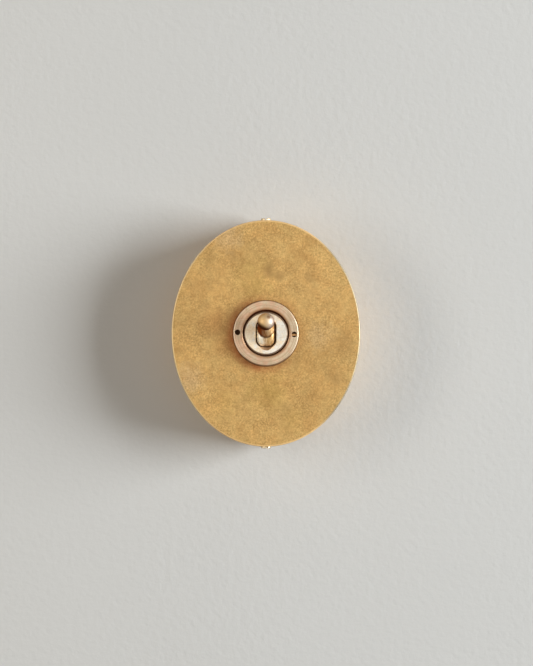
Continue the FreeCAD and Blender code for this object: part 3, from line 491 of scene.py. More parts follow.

# A dark rim of dirt and painted shade, wider at the top and bottom, a film just under the face, and dirt
# deeper down and in the groove
rim_start = between(tree, calc(tree, "ABSOLUTE", where["Z"]), 0, 0.011, 0.0108, 0.0104)
rim = between(tree, calc(tree, "SUBTRACT", turning["Radius"], rim_start), 0, 0.0005, 0, 0.9)
cream = blend(tree, rim, cream, NOSE_RIM_DIRT_AND_SHADE)
cream = blend(tree, calc(tree, "MULTIPLY", brown_film, 0.8), cream, NOSE_FILM)
cream = blend(tree, calc(tree, "MULTIPLY", dirt, 0.9), cream, NOSE_DIRT)
cream = blend(tree, calc(tree, "MULTIPLY", groove_dirt, 0.95), cream, GROOVE_DIRT)
feed(tree, shader.inputs["Base Color"], cream)
feed(tree, shader.inputs["Metallic"], between(tree, groove_dirt, 0, 0.7, 0.36, 0.9))
satin = between(tree, marks["Mottle"], 0.3, 0.7, 0.44, 0.34)
satin = calc(tree, "ADD", satin, calc(tree, "MULTIPLY", dirt, 0.35))
feed(tree, shader.inputs["Roughness"], satin)
height = calc(tree, "SUBTRACT", turning["Rings"], calc(tree, "MULTIPLY", marks["Scratches"], 0.5))
raise_surface(tree, shader, height, distance=0.00002)
nodes["nose_bush"].data.materials[0] = nose_brass

# Lever: turned brass with a ball at its end, worn to a satin by fingers, and brown where
# it goes down into the slot.
STEM_ROOT = 0.00455
DRUM_RADIUS = 0.0069
BALL_REACH = 0.015
SLOT_MOUTH = 0.0376
CORNER_REACH = (0.0001, 0.0007)
UNDER_BALL = (-0.50, 0.47, -0.73)
REFLECTION_SPOT_WAY = (0.32, -0.93, 0.17)
LEVER_SATIN = ((0.46, 0.27, 0.095), (0.80, 0.58, 0.31))
DRUM_LEFT_HIGHLIGHT = (1.0, 0.97, 0.84)
DRUM_RIGHT_SHADE = (0.65, 0.42, 0.19)
DRUM_PATCH = (0.50, 0.29, 0.11)
DARK_STREAK = (0.34, 0.17, 0.055)
BRIGHT_STREAK = (0.98, 0.82, 0.53)
BALL_LEFT_WARM_REFLECTION = (0.70, 0.48, 0.235)
BALL_RIGHT_COOL_REFLECTION = (0.43, 0.37, 0.33)
STEM_TARNISH_AND_SHADE = (0.145, 0.026, 0.001)
BALL_UNDERSIDE_SHADE = (0.05, 0.012, 0.001)
BALL_SPOT_REFLECTION = (0.22, 0.10, 0.03)
LEVER_SPECK = (0.28, 0.16, 0.06)
LEVER_DIRT = (0.16, 0.08, 0.03)
CORNER_DIRT = (0.10, 0.045, 0.018)
SLOT_SIDE_SHADE = (0.05, 0.02, 0.008)
LEVER_SHEEN = (0.52, 0.27, 0.09)


def along(tree, place, way):
    """How far a place lies in one direction."""
    made = tree.nodes.new("ShaderNodeVectorMath")
    made.operation = "DOT_PRODUCT"
    feed(tree, made.inputs[0], place)
    feed(tree, made.inputs[1], way)
    return made.outputs["Value"]


lever_brass, tree, shader = new_finish("lever_brass")
marks = use_group(tree, old_metal, Size=3.0)
dirt = use_group(tree, recess_dirt, Face=SLOT_MOUTH, Depth=0.003)["Dirt"]

# Places in the lever's own frame, from the pivot: X across, Y back along the stem, Z up from it
about_pivot = tree.nodes.new("ShaderNodeMapping")
feed(tree, about_pivot.inputs["Vector"], object_place(tree))
feed(tree, about_pivot.inputs["Rotation"], (LEVER_TILT, 0, 0))
turn_back = Vector((0, PIVOT_FORWARD * math.cos(LEVER_TILT), PIVOT_FORWARD * math.sin(LEVER_TILT)))
feed(tree, about_pivot.inputs["Location"], turn_back)
where = axes(tree, about_pivot.outputs["Vector"])

# How near the surface is to the corner where the stem meets the drum, for the dirt in it
squares = {axis: calc(tree, "MULTIPLY", where[axis], where[axis]) for axis in "XYZ"}
from_stem = calc(tree, "SQRT", calc(tree, "ADD", squares["X"], squares["Z"]))
from_hinge = calc(tree, "SQRT", calc(tree, "ADD", squares["Y"], squares["Z"]))
stem_gap = calc(tree, "ABSOLUTE", calc(tree, "SUBTRACT", from_stem, STEM_ROOT))
drum_gap = calc(tree, "ABSOLUTE", calc(tree, "SUBTRACT", from_hinge, DRUM_RADIUS))
in_corner = between(tree, stem_gap, *CORNER_REACH, 1, 0)
in_corner = calc(tree, "MULTIPLY", in_corner, between(tree, drum_gap, *CORNER_REACH, 1, 0))

# Brown tarnish on the stem, between the drum and the ball, with painted shade that makes it deepest on its
# left
tarnish_and_shade = between(tree, where["Y"], -0.0172, -0.0146)
tarnish_and_shade = calc(tree, "MULTIPLY", tarnish_and_shade, between(tree, where["Y"], -0.0050, -0.0064))
tarnish_and_shade = calc(tree, "MULTIPLY", tarnish_and_shade, between(tree, where["X"], 0.0035, -0.003, 0.25, 0.98))
tarnish_and_shade = calc(tree, "MULTIPLY", tarnish_and_shade, between(tree, marks["Mottle"], 0.3, 0.65, 0.86, 1))

# Satin brass, with a painted highlight on the drum's left, and painted shade and brown patches on its right
gold = blend(tree, between(tree, marks["Mottle"], 0.35, 0.65), *LEVER_SATIN)
to_right = between(tree, where["X"], -0.0032, 0.0012)
drum_light_and_patches = blend(tree, to_right, DRUM_LEFT_HIGHLIGHT, DRUM_RIGHT_SHADE)
patches = between(tree, marks["Mottle"], 0.46, 0.60, 0, 0.6)
patches = calc(tree, "MULTIPLY", patches, between(tree, to_right, 0, 0.8, 0.25, 1))
drum_light_and_patches = blend(tree, patches, drum_light_and_patches, DRUM_PATCH)
gold = blend(tree, between(tree, where["Y"], -0.0062, -0.0050), gold, drum_light_and_patches)

# Streaks that run along the lever, the bright ones stronger on the left and the dark ones on the right, in
# step with the drum's painted light
drawn_out = stretched(tree, about_pivot.outputs["Vector"], scale=(950, 190, 190))
streaks = noise(tree, drawn_out, scale=1, detail=2, rough=0.5, warp=0.5)
dark_streaks = between(tree, streaks, 0.50, 0.62, 0, 0.6)
dark_streaks = calc(tree, "MULTIPLY", dark_streaks, between(tree, to_right, 0, 0.8, 0.2, 1))
gold = blend(tree, dark_streaks, gold, DARK_STREAK)
bright_streaks = between(tree, streaks, 0.50, 0.38, 0, 0.6)
bright_streaks = calc(tree, "MULTIPLY", bright_streaks, between(tree, to_right, 0, 1, 1, 0.4))
gold = blend(tree, bright_streaks, gold, BRIGHT_STREAK)

# The ball, painted warm on its left and greyer on its right as tints of the lamps' reflections, and then the
# stem's tarnish with its painted shade
ball_right = between(tree, where["X"], -0.0015, 0.0035)
ball_reflection_tint = blend(tree, ball_right, BALL_LEFT_WARM_REFLECTION, BALL_RIGHT_COOL_REFLECTION)
gold = blend(tree, between(tree, where["Y"], -0.0125, -0.0150, 0, 0.9), gold, ball_reflection_tint)
gold = blend(tree, tarnish_and_shade, gold, STEM_TARNISH_AND_SHADE)

# Painted shade on the ball's lower left underside, and one painted dark reflection on its upper right
shaded = along(tree, about_pivot.outputs["Vector"], UNDER_BALL)
shaded = calc(tree, "ADD", shaded, BALL_REACH * UNDER_BALL[1])
shaded = between(tree, shaded, 0.0008, 0.0030)
shaded = calc(tree, "MULTIPLY", shaded, between(tree, where["Y"], -0.0110, -0.0120, 0, 0.93))
gold = blend(tree, shaded, gold, BALL_UNDERSIDE_SHADE)
reflection_spot = between(tree, along(tree, about_pivot.outputs["Vector"], REFLECTION_SPOT_WAY), 0.01818, 0.01838, 0, 0.7)
gold = blend(tree, reflection_spot, gold, BALL_SPOT_REFLECTION)

# Specks all over, dirt in the slot and in the corner, and painted shade on the drum's right side
gold = blend(tree, calc(tree, "MULTIPLY", marks["Specks"], 0.4), gold, LEVER_SPECK)
gold = blend(tree, calc(tree, "MULTIPLY", dirt, 0.7), gold, LEVER_DIRT)
gold = blend(tree, calc(tree, "MULTIPLY", in_corner, 0.85), gold, CORNER_DIRT)
slot_side_shade = between(tree, where["X"], 0.0039, 0.0044, 0, 0.9)
slot_side_shade = calc(tree, "MULTIPLY", slot_side_shade, between(tree, where["Y"], -0.0112, -0.0102))
gold = blend(tree, slot_side_shade, gold, SLOT_SIDE_SHADE)
feed(tree, shader.inputs["Base Color"], gold)
satin = between(tree, marks["Mottle"], 0.3, 0.7, 0.60, 0.52)
satin = calc(tree, "ADD", satin, calc(tree, "MULTIPLY", dirt, 0.15))
feed(tree, shader.inputs["Roughness"], satin)
shader.inputs["Metallic"].default_value = 1
feed(tree, shader.inputs["Specular Tint"], LEVER_SHEEN)
raise_surface(tree, shader, calc(tree, "SUBTRACT", marks["Grain"], marks["Scratches"]), distance=0.000008)
nodes["dolly"].data.materials[0] = lever_brass

# Cover: one deep oval shell of brass, spun and turned, its lacquer long gone. The face has
# dulled to an even tan with brown stains, and hands have rubbed its edge bright. A highlight on
# the edge's left and the ring's shadow on the face are painted on. Two screws through its wall
# hold it to the back plate.
COVER_HALF_WIDTH = 0.050
COVER_HALF_HEIGHT = 0.060
COVER_DEPTH = 0.034
COVER_WALL = 0.0015
COVER_FACE = 0.002
NOSE_HOLE = 0.0119
SCREW_HEIGHT = 0.011
SCREW_HOLE = 0.0017
DRILL_LENGTH = 0.14
EDGE_ROUND = 0.0008
INNER_ROUND = 0.0006
BACK_ROUND = 0.0003
NOSE_HOLE_ROUND = 0.0002

# Ovals between the edge and the nose's hole, outside and inside, that keep the face's strips even
FACE_OVALS = [(0.045, 0.0545), (0.032, 0.037), (0.020, 0.021)]
INNER_OVAL = (0.030, 0.034)
MM_PER_METRE = 1000
OLIVE_TAN = ((0.32, 0.178, 0.046), (0.76, 0.497, 0.18))
RED_TAN = ((0.34, 0.17, 0.04), (0.80, 0.475, 0.157))
PALE_TAN = ((0.33, 0.19, 0.07), (0.79, 0.545, 0.27))
YELLOW_TAN = ((0.31, 0.170, 0.030), (0.74, 0.476, 0.142))
BROWN_TAN = ((0.28, 0.092, 0.018), (0.66, 0.31, 0.085))
STAIN_TONE = (0.26, 0.138, 0.040)
COVER_SPECK = (0.22, 0.11, 0.04)
RING_SHADOW_AND_DIRT = (0.36, 0.092, 0.016)
RING_CORNER = (0.085, 0.035, 0.012)
BARE_LEFT_HIGHLIGHT = (0.62, 0.47, 0.25)
BARE_RIGHT_DIMMED = (0.31, 0.26, 0.17)
BARE_ENDS = (0.84, 0.55, 0.235)
outer = (COVER_HALF_WIDTH, COVER_HALF_HEIGHT)
inner = (COVER_HALF_WIDTH - COVER_WALL, COVER_HALF_HEIGHT - COVER_WALL)
cover = turned("cover_shell", [
    (*inner, 0),
    (*outer, 0),
    (*outer, COVER_DEPTH / 2),
    (*outer, COVER_DEPTH),
    *((wide, high, COVER_DEPTH) for wide, high in FACE_OVALS),
    (NOSE_HOLE, NOSE_HOLE, COVER_DEPTH),
    (NOSE_HOLE, NOSE_HOLE, COVER_DEPTH - COVER_FACE),
    (*INNER_OVAL, COVER_DEPTH - COVER_FACE),
    (*inner, COVER_DEPTH - COVER_FACE),
], corners=256)


def on_oval(at, half_width, half_height, forward):
    """Whether a corner lies on an oval at a distance in front of the wall."""
    share = (at.x / half_width) ** 2 + (at.z / half_height) ** 2
    return near(at.y, -forward) and near(share, 1, slack=0.0005)


def on_circle(at, radius, forward, across=0, up=0):
    """Whether a corner lies on a circle at a distance in front of the wall."""
    return near(at.y, -forward) and near(math.hypot(at.x - across, at.z - up), radius)


soften(cover, EDGE_ROUND, segments=6, wanted=lambda at: on_oval(at, *outer, COVER_DEPTH))
soften(cover, INNER_ROUND, segments=4, wanted=lambda at: on_oval(at, *inner, COVER_DEPTH - COVER_FACE))
soften(cover, BACK_ROUND, segments=3, wanted=lambda at: on_oval(at, *outer, 0))
soften(cover, NOSE_HOLE_ROUND, segments=2, wanted=lambda at: on_circle(at, NOSE_HOLE, COVER_DEPTH))


def cut_away(piece, cutter):
    """Cuts one shape out of a piece."""
    bpy.context.view_layer.objects.active = piece
    change = piece.modifiers.new("cut", "BOOLEAN")
    change.object = cutter
    bpy.ops.object.modifier_apply(modifier=change.name)
    bpy.data.objects.remove(cutter)


bpy.ops.mesh.primitive_cylinder_add(
    vertices=48, radius=SCREW_HOLE, depth=DRILL_LENGTH, location=(0, -SCREW_HEIGHT, 0),
)
cut_away(cover, bpy.context.object)
smooth(cover)

cover_brass, tree, shader = new_finish("cover_brass")
place = object_place(tree)
marks = use_group(tree, old_metal)

# Light and dark of the dulled face: clouds, mottle, pores and sanded grain, about a middle of 0.5
tone = calc(tree, "MULTIPLY", calc(tree, "SUBTRACT", marks["Clouds"], 0.5), 0.5)
tone = calc(tree, "ADD", tone, calc(tree, "MULTIPLY", calc(tree, "SUBTRACT", marks["Mottle"], 0.5), 0.72))
pores = calc(tree, "SUBTRACT", noise(tree, place, scale=420, detail=2, rough=0.6), 0.5)
tone = calc(tree, "ADD", tone, calc(tree, "MULTIPLY", pores, 0.6))
sanded = between(tree, noise(tree, place, scale=75, detail=4, rough=0.6), 0.35, 0.65, 1.2, 2.6)
tone = calc(tree, "ADD", tone, calc(tree, "MULTIPLY", calc(tree, "SUBTRACT", marks["Grain"], 0.5), sanded))
tone = calc(tree, "ADD", tone, 0.5)
olive_tan = blend(tree, tone, *OLIVE_TAN)
red_tan = blend(tree, tone, *RED_TAN)
ruddy = between(tree, noise(tree, place, scale=60, detail=6, rough=0.8), 0.3, 0.7)
tan = blend(tree, ruddy, olive_tan, red_tan)

# Patches on the face: right and up from the middle and size, in mm, then strength. The stains
# are where the lacquer failed first.
PALE_PATCHES = [(-41, -24, 10, 0.6), (-20, 51, 9, 0.6), (28, -2, 9, 0.45)]
YELLOW_PATCHES = [(-6, 29, 13, 0.6), (2, -31, 13, 0.7), (-22, -36, 8, 0.4), (14, -45, 8, 0.4)]
RED_PATCHES = [(-27, 6, 9, 0.5), (-22, -6, 7, 0.35)]
STAINS = [
    (1.5, 32.5, 4.6, 0.72), (7, 30.5, 3.6, 0.6), (22.5, 30, 4.6, 0.3), (24, 22.5, 3.6, 0.24),
    (-17.5, 41, 5.4, 0.3), (-37, 22.5, 7.5, 0.32), (41.5, -5.5, 7.5, 0.34), (38, -24, 6.5, 0.22),
    (11, -39.5, 4.2, 0.24), (22.5, -47.5, 5.0, 0.2), (-6, 50, 1.6, 0.6),
]
ragged = noise(tree, place, scale=120, detail=6, rough=0.78)
where = axes(tree, stretched(tree, place, scale=[MM_PER_METRE] * 3))


def patch_mask(patches):
    """Strength of the patches on the face, with ragged edges."""
    mask = 0.0
    for across, up, size, strength in patches:
        right = calc(tree, "SUBTRACT", where["X"], across)
        above = calc(tree, "SUBTRACT", where["Z"], up)
        reach = calc(tree, "ADD", calc(tree, "POWER", right, 2), calc(tree, "POWER", above, 2))
        frayed = calc(tree, "MULTIPLY", calc(tree, "SUBTRACT", ragged, 0.5), 2.6 * size)
        reach = calc(tree, "ADD", calc(tree, "SQRT", reach), frayed)
        mask = calc(tree, "MAXIMUM", between(tree, reach, 0, 1.25 * size, strength, 0), mask)
    return mask


pale_tan = blend(tree, tone, *PALE_TAN)
yellow_tan = blend(tree, tone, *YELLOW_TAN)
brown_tan = blend(tree, tone, *BROWN_TAN)
tan = blend(tree, patch_mask(PALE_PATCHES), tan, pale_tan)
tan = blend(tree, patch_mask(YELLOW_PATCHES), tan, yellow_tan)
tan = blend(tree, patch_mask(RED_PATCHES), tan, brown_tan)
stain = calc(tree, "MULTIPLY", patch_mask(STAINS), between(tree, marks["Grain"], 0.3, 0.6, 0.45, 1))
tan = blend(tree, stain, tan, STAIN_TONE)
tan = blend(tree, calc(tree, "MULTIPLY", marks["Specks"], 0.4), tan, COVER_SPECK)

# Painted shadow of the ring over a little dirt round it, spread out to its left and below it, and a dark
# line round the ring's foot
from_middle = use_group(tree, lathe_marks)["Radius"]
ring_shadow_and_dirt = between(tree, from_middle, 0.0170, 0.0232, 1, 0)
lean = calc(tree, "ADD", where["X"], calc(tree, "MULTIPLY", where["Z"], 0.5))
ring_shadow_and_dirt = calc(tree, "MULTIPLY", ring_shadow_and_dirt, between(tree, lean, 12, -13, 0.2, 0.92))
ring_shadow_and_dirt = calc(tree, "MULTIPLY", ring_shadow_and_dirt, between(tree, ragged, 0.3, 0.6, 0.35, 1))
tan = blend(tree, ring_shadow_and_dirt, tan, RING_SHADOW_AND_DIRT)
tan = blend(tree, between(tree, from_middle, 0.0174, 0.0179, 0.8, 0), tan, RING_CORNER)

# Share of the way from the middle to the oval's edge, for the rubbed line along it
wide = calc(tree, "POWER", calc(tree, "DIVIDE", where["X"], COVER_HALF_WIDTH * MM_PER_METRE), 2)
high = calc(tree, "POWER", calc(tree, "DIVIDE", where["Z"], COVER_HALF_HEIGHT * MM_PER_METRE), 2)
outward = calc(tree, "SQRT", calc(tree, "ADD", wide, high))
front = between(tree, where["Y"], -32.5, -33.5)
rubbed = calc(tree, "MULTIPLY", between(tree, outward, 0.982, 0.990), front)
rubbed = calc(tree, "MULTIPLY", rubbed, between(tree, ragged, 0.3, 0.55, 0.7, 0.95))
# The rubbed edge is painted brighter on the left, as a highlight, and dimmed on the right, where the right
# window's highlight falls; its top and bottom are rubbed bright
bare_and_painted_edge = blend(tree, between(tree, where["X"], -10, 30), BARE_LEFT_HIGHLIGHT, BARE_RIGHT_DIMMED)
ends = between(tree, calc(tree, "ABSOLUTE", where["Z"]), 40, 54)
bare_and_painted_edge = blend(tree, ends, bare_and_painted_edge, BARE_ENDS)
feed(tree, shader.inputs["Base Color"], blend(tree, rubbed, tan, bare_and_painted_edge))
satin = between(tree, marks["Mottle"], 0.3, 0.7, 0.56, 0.48)
satin = calc(tree, "ADD", satin, calc(tree, "MULTIPLY", stain, 0.1))
satin = calc(tree, "SUBTRACT", satin, calc(tree, "MULTIPLY", marks["Scratches"], 0.06))
feed(tree, shader.inputs["Roughness"], satin)
polished = calc(tree, "MULTIPLY", rubbed, calc(tree, "SUBTRACT", 1, ends))
feed(tree, shader.inputs["Metallic"], between(tree, polished, 0, 1, 0.45, 1))

# Fine lines of the spinning on the wall, and grain and scratches everywhere
spun = noise(tree, stretched(tree, place, scale=(6, 1400, 6)), scale=1, detail=4, rough=0.65)
height = calc(tree, "SUBTRACT", marks["Grain"], calc(tree, "MULTIPLY", marks["Scratches"], 0.5))
spun = calc(tree, "MULTIPLY", spun, between(tree, where["Y"], -33, -32, 0, 0.8))
height = calc(tree, "ADD", height, spun)
raise_surface(tree, shader, height, distance=0.00003)
cover.data.materials.append(cover_brass)
stand_for(cover, "cover")

# Ring nut: turned from a pinker bronze bar and tightened with a two-pin spanner. Its edges
# are worn round, and dirt has settled in its two holes and in the groove round the nose.
RING_OUTER = 0.0172
RING_BORE = 0.0118
RING_GROOVE = 0.0119
GROOVE_BOTTOM = 0.0364
HOLE_RADIUS = 0.00145
HOLE_CIRCLE = 0.01495
HOLE_DEPTH = 0.003
RING_TURN = math.radians(2.2)
RIM_ROUND = 0.0005
GROOVE_ROUND = 0.0013
FOOT_ROUND = 0.0001
HOLE_ROUND = 0.00014
RING_ROSY = ((0.645, 0.383, 0.23), (0.79, 0.515, 0.335))
RING_STRAW = ((0.575, 0.425, 0.255), (0.71, 0.56, 0.365))
RING_CLOUD = (0.46, 0.26, 0.125)
RING_LINE = (0.42, 0.24, 0.13)
RING_SHADE = (0.36, 0.225, 0.12)
RING_SCRATCH = (0.8, 0.64, 0.47)
RING_SPECK = (0.25, 0.14, 0.07)
RIM_HIGHLIGHT = (0.78, 0.61, 0.43)
RIM_SHADE = (0.20, 0.105, 0.045)
INNER_DIRT_AND_SHADE = (0.42, 0.20, 0.075)
RING_FILM_AND_SHADE = (0.12, 0.02, 0.001)
RING_SIDE = (0.16, 0.085, 0.035)
HOLE_DIRT = (0.07, 0.026, 0.010)
HOLE_LIT_GOLD = (0.92, 0.53, 0.21)
ring = turned("ring_nut", [
    (RING_BORE, RING_BORE, COVER_DEPTH),
    (RING_OUTER, RING_OUTER, COVER_DEPTH),
    (RING_OUTER, RING_OUTER, NOSE_FACE),
    (RING_GROOVE, RING_GROOVE, NOSE_FACE),
    (RING_GROOVE, RING_GROOVE, GROOVE_BOTTOM),
    (RING_BORE, RING_BORE, GROOVE_BOTTOM),
], corners=160)
soften(ring, RIM_ROUND, segments=5, wanted=lambda at: on_circle(at, RING_OUTER, NOSE_FACE))
soften(ring, GROOVE_ROUND, segments=5, wanted=lambda at: on_circle(at, RING_GROOVE, NOSE_FACE))
soften(ring, FOOT_ROUND, segments=2, wanted=lambda at: on_circle(at, RING_OUTER, COVER_DEPTH))
hole_across = HOLE_CIRCLE * math.cos(RING_TURN)
hole_down = HOLE_CIRCLE * math.sin(RING_TURN)
hole_places = [(hole_across, -hole_down), (-hole_across, hole_down)]
for across, up in hole_places:
    bpy.ops.object.select_all(action="DESELECT")
    bpy.ops.mesh.primitive_cylinder_add(
        vertices=40, radius=HOLE_RADIUS, depth=2 * HOLE_DEPTH, rotation=(math.pi / 2, 0, 0),
        location=(across, -NOSE_FACE, up),
    )
    cut_away(ring, bpy.context.object)
for across, up in hole_places:
    soften(ring, HOLE_ROUND, segments=2, wanted=lambda at: on_circle(at, HOLE_RADIUS, NOSE_FACE, across, up))
smooth(ring)
ring_bronze, tree, shader = new_finish("ring_bronze")
marks = use_group(tree, old_metal, Size=2.0)
turning = use_group(tree, lathe_marks, Spacing=0.0009)
dirt = use_group(tree, recess_dirt, Depth=0.0016)["Dirt"]
dirt = calc(tree, "MULTIPLY", dirt, between(tree, turning["Radius"], 0.0166, 0.0164))
where = axes(tree, object_place(tree))

# Dirt fills both holes, but a band across the right one is rubbed clean and painted as lit bright gold
rubbed_and_lit_hole = between(tree, where["X"], 0.013, 0.0134)
rubbed_and_lit_hole = calc(tree, "MULTIPLY", rubbed_and_lit_hole, between(tree, where["Z"], 0.0, -0.0006))
rubbed_and_lit_hole = calc(tree, "MULTIPLY", rubbed_and_lit_hole, between(tree, where["Z"], -0.0015, -0.0010))
rubbed_and_lit_hole = calc(tree, "MULTIPLY", rubbed_and_lit_hole, dirt)
dirt = calc(tree, "SUBTRACT", dirt, rubbed_and_lit_hole)

# Brown film and painted shade on the lip round the groove, wider and darker at the top
film_and_shade_edge = between(tree, where["Z"], 0.001, 0.011, 0.0121, 0.0124)
film_and_shade = between(tree, calc(tree, "SUBTRACT", turning["Radius"], film_and_shade_edge), 0.0003, -0.0001)
film_and_shade = calc(tree, "MULTIPLY", film_and_shade, between(tree, where["Z"], -0.004, 0.010, 0.45, 1))

# Bronze, rosier to the left and more straw-coloured to the right, in soft patches
shine = between(tree, marks["Mottle"], 0.3, 0.7)
rosy = blend(tree, shine, *RING_ROSY)
straw = blend(tree, shine, *RING_STRAW)
cast = calc(tree, "SUBTRACT", noise(tree, object_place(tree), scale=330, detail=4, rough=0.7), 0.5)
cast = calc(tree, "MULTIPLY", cast, 7)
cast = calc(tree, "ADD", cast, between(tree, where["X"], -0.012, 0.016, 0.3, 0.85))
pink = blend(tree, cast, rosy, straw)

# Clouds, turning lines, painted shade on the lower left, scratches and specks
pink = blend(tree, between(tree, marks["Clouds"], 0.5, 0.72, 0, 0.4), pink, RING_CLOUD)
pink = blend(tree, between(tree, turning["Rings"], 0.56, 0.3, 0, 0.45), pink, RING_LINE)
lean = calc(tree, "ADD", where["X"], calc(tree, "MULTIPLY", where["Z"], 0.6))
pink = blend(tree, between(tree, lean, 0.004, -0.016, 0, 0.28), pink, RING_SHADE)
pink = blend(tree, calc(tree, "MULTIPLY", marks["Scratches"], 0.4), pink, RING_SCRATCH)
pink = blend(tree, calc(tree, "MULTIPLY", marks["Specks"], 0.45), pink, RING_SPECK)

# Painted light on the rim: a highlight at the sides and shade at the bottom
rim = between(tree, turning["Radius"], 0.0163, 0.0169)
sideways = calc(tree, "ABSOLUTE", where["X"])
rim_highlight = calc(tree, "MULTIPLY", rim, between(tree, sideways, 0.009, 0.014, 0, 0.55))
pink = blend(tree, rim_highlight, pink, RIM_HIGHLIGHT)
rim_shade = calc(tree, "MULTIPLY", rim, between(tree, where["Z"], -0.009, -0.014, 0, 0.9))
pink = blend(tree, rim_shade, pink, RIM_SHADE)

# Browner towards the groove, from dirt and painted shade that is deepest at the top, and darker down the
# side of the ring
pink = blend(tree, between(tree, turning["Radius"], 0.0124, 0.0139, 0.5, 0), pink, INNER_DIRT_AND_SHADE)
upper_shade = between(tree, turning["Radius"], 0.0130, 0.0148, 1, 0)
upper_shade = calc(tree, "MULTIPLY", upper_shade, between(tree, where["Z"], 0.003, 0.012, 0, 0.45))
pink = blend(tree, upper_shade, pink, INNER_DIRT_AND_SHADE)
pink = blend(tree, film_and_shade, pink, RING_FILM_AND_SHADE)
side = between(tree, where["Y"], -0.0374, -0.0368)
side = calc(tree, "MULTIPLY", side, between(tree, turning["Radius"], 0.0168, 0.0170, 0, 0.8))
pink = blend(tree, side, pink, RING_SIDE)
pink = blend(tree, calc(tree, "MULTIPLY", dirt, 0.93), pink, HOLE_DIRT)
# The clean band in the right hole, painted as lit gold
pink = blend(tree, rubbed_and_lit_hole, pink, HOLE_LIT_GOLD)
feed(tree, shader.inputs["Base Color"], pink)
feed(tree, shader.inputs["Metallic"], between(tree, dirt, 0, 0.7, 0.5, 0.9))
satin = between(tree, marks["Mottle"], 0.3, 0.7, 0.44, 0.35)
satin = calc(tree, "ADD", satin, calc(tree, "MULTIPLY", dirt, 0.35))
feed(tree, shader.inputs["Roughness"], satin)
height = calc(tree, "SUBTRACT", turning["Rings"], calc(tree, "MULTIPLY", marks["Scratches"], 0.5))
raise_surface(tree, shader, height, distance=0.00002)
ring.data.materials.append(ring_bronze)
stand_for(ring, "locking_ring")

# Cover screws: slotted brass cheese heads with a cut thread, one above and one below. They go
# through the cover's wall into the lugs of the back plate. The driver has scuffed their slots,
# and they are paler than the cover.
HEAD_RADIUS = 0.00275
HEAD_HEIGHT = 0.0022
HEAD_ROUND = 0.00035
STUB_LENGTH = 0.0005
SHANK_LENGTH = 0.007
THREAD_OUTER = 0.0015
THREAD_INNER = 0.0012
THREAD_PITCH = 0.0005
THREAD_START = 0.0004
THREAD_WELD = 0.000002
SLOT_WIDTH = 0.0008
SLOT_DEPTH = 0.001
SCREW_TONES = ((0.55, 0.42, 0.24), (0.78, 0.66, 0.46))
SCREW_SCRATCH = (0.85, 0.74, 0.54)

# Each screw: turn of its slot, how it is tipped from facing front, and height of its seat
COVER_SCREWS = {
    "upper_cover_screw": (0, -math.pi / 2, COVER_HALF_HEIGHT),
    "lower_cover_screw": (math.radians(20), math.pi / 2, -COVER_HALF_HEIGHT),
}
screw_brass, tree, shader = new_finish("screw_brass")
marks = use_group(tree, old_metal, Size=3.0)
worn = blend(tree, between(tree, marks["Mottle"], 0.3, 0.7), *SCREW_TONES)
feed(tree, shader.inputs["Base Color"], blend(tree, marks["Scratches"], worn, SCREW_SCRATCH))
feed(tree, shader.inputs["Roughness"], between(tree, marks["Mottle"], 0.3, 0.7, 0.46, 0.34))
shader.inputs["Metallic"].default_value = 0.9
raise_surface(tree, shader, calc(tree, "SUBTRACT", marks["Grain"], marks["Scratches"]), distance=0.00002)

# The head has its seat at the origin and faces front, with a stub for the thread behind it
head = turned("screw_head", [
    (THREAD_INNER, THREAD_INNER, -STUB_LENGTH),
    (THREAD_INNER, THREAD_INNER, 0),
    (HEAD_RADIUS, HEAD_RADIUS, 0),
    (HEAD_RADIUS, HEAD_RADIUS, HEAD_HEIGHT),
], corners=64, ends="closed")
soften(head, HEAD_ROUND, segments=4, wanted=lambda at: near(at.y, -HEAD_HEIGHT))

# The thread starts as one edge, pushed out in the middle, and is wound round the shank
bpy.ops.object.select_all(action="DESELECT")
bpy.ops.mesh.primitive_plane_add(size=THREAD_PITCH, location=(THREAD_INNER, 0, 0))
thread = bpy.context.object
bpy.ops.object.transform_apply(location=True, rotation=False, scale=False)
bpy.ops.object.mode_set(mode="EDIT")
bpy.ops.mesh.select_mode(type="VERT")
bpy.ops.mesh.select_all(action="DESELECT")
work = bmesh.from_edit_mesh(thread.data)
for corner in work.verts:
    corner.select_set(corner.co.x > THREAD_INNER)
bmesh.update_edit_mesh(thread.data)
bpy.ops.mesh.delete(type="VERT")
bpy.ops.mesh.select_all(action="SELECT")
bpy.ops.transform.translate(value=(THREAD_PITCH / 2, 0, 0))
bpy.ops.mesh.subdivide(number_cuts=1)
work = bmesh.from_edit_mesh(thread.data)
for corner in work.verts:
    corner.select_set(near(corner.co.y, 0))
bmesh.update_edit_mesh(thread.data)
bpy.ops.transform.translate(value=(THREAD_OUTER - THREAD_INNER, 0, 0))
bpy.ops.object.mode_set(mode="OBJECT")
wind(thread, THREAD_PITCH, round(SHANK_LENGTH / THREAD_PITCH) + 2)
bpy.ops.object.mode_set(mode="EDIT")
bpy.ops.mesh.select_all(action="SELECT")
bpy.ops.mesh.remove_doubles(threshold=THREAD_WELD)
for end, way in ((THREAD_START, -1), (SHANK_LENGTH, 1)):
    bpy.ops.mesh.select_all(action="SELECT")
    bpy.ops.mesh.bisect(plane_co=(0, end, 0), plane_no=(0, way, 0), use_fill=True, clear_outer=True)
bpy.ops.mesh.select_all(action="SELECT")
bpy.ops.mesh.normals_make_consistent(inside=False)
bpy.ops.object.mode_set(mode="OBJECT")


def copied(piece, name):
    """A copy of a piece, with its own mesh."""
    bpy.ops.object.select_all(action="DESELECT")
    piece.select_set(True)
    bpy.context.view_layer.objects.active = piece
    bpy.ops.object.duplicate()
    twin = bpy.context.object
    twin.name = name
    return twin


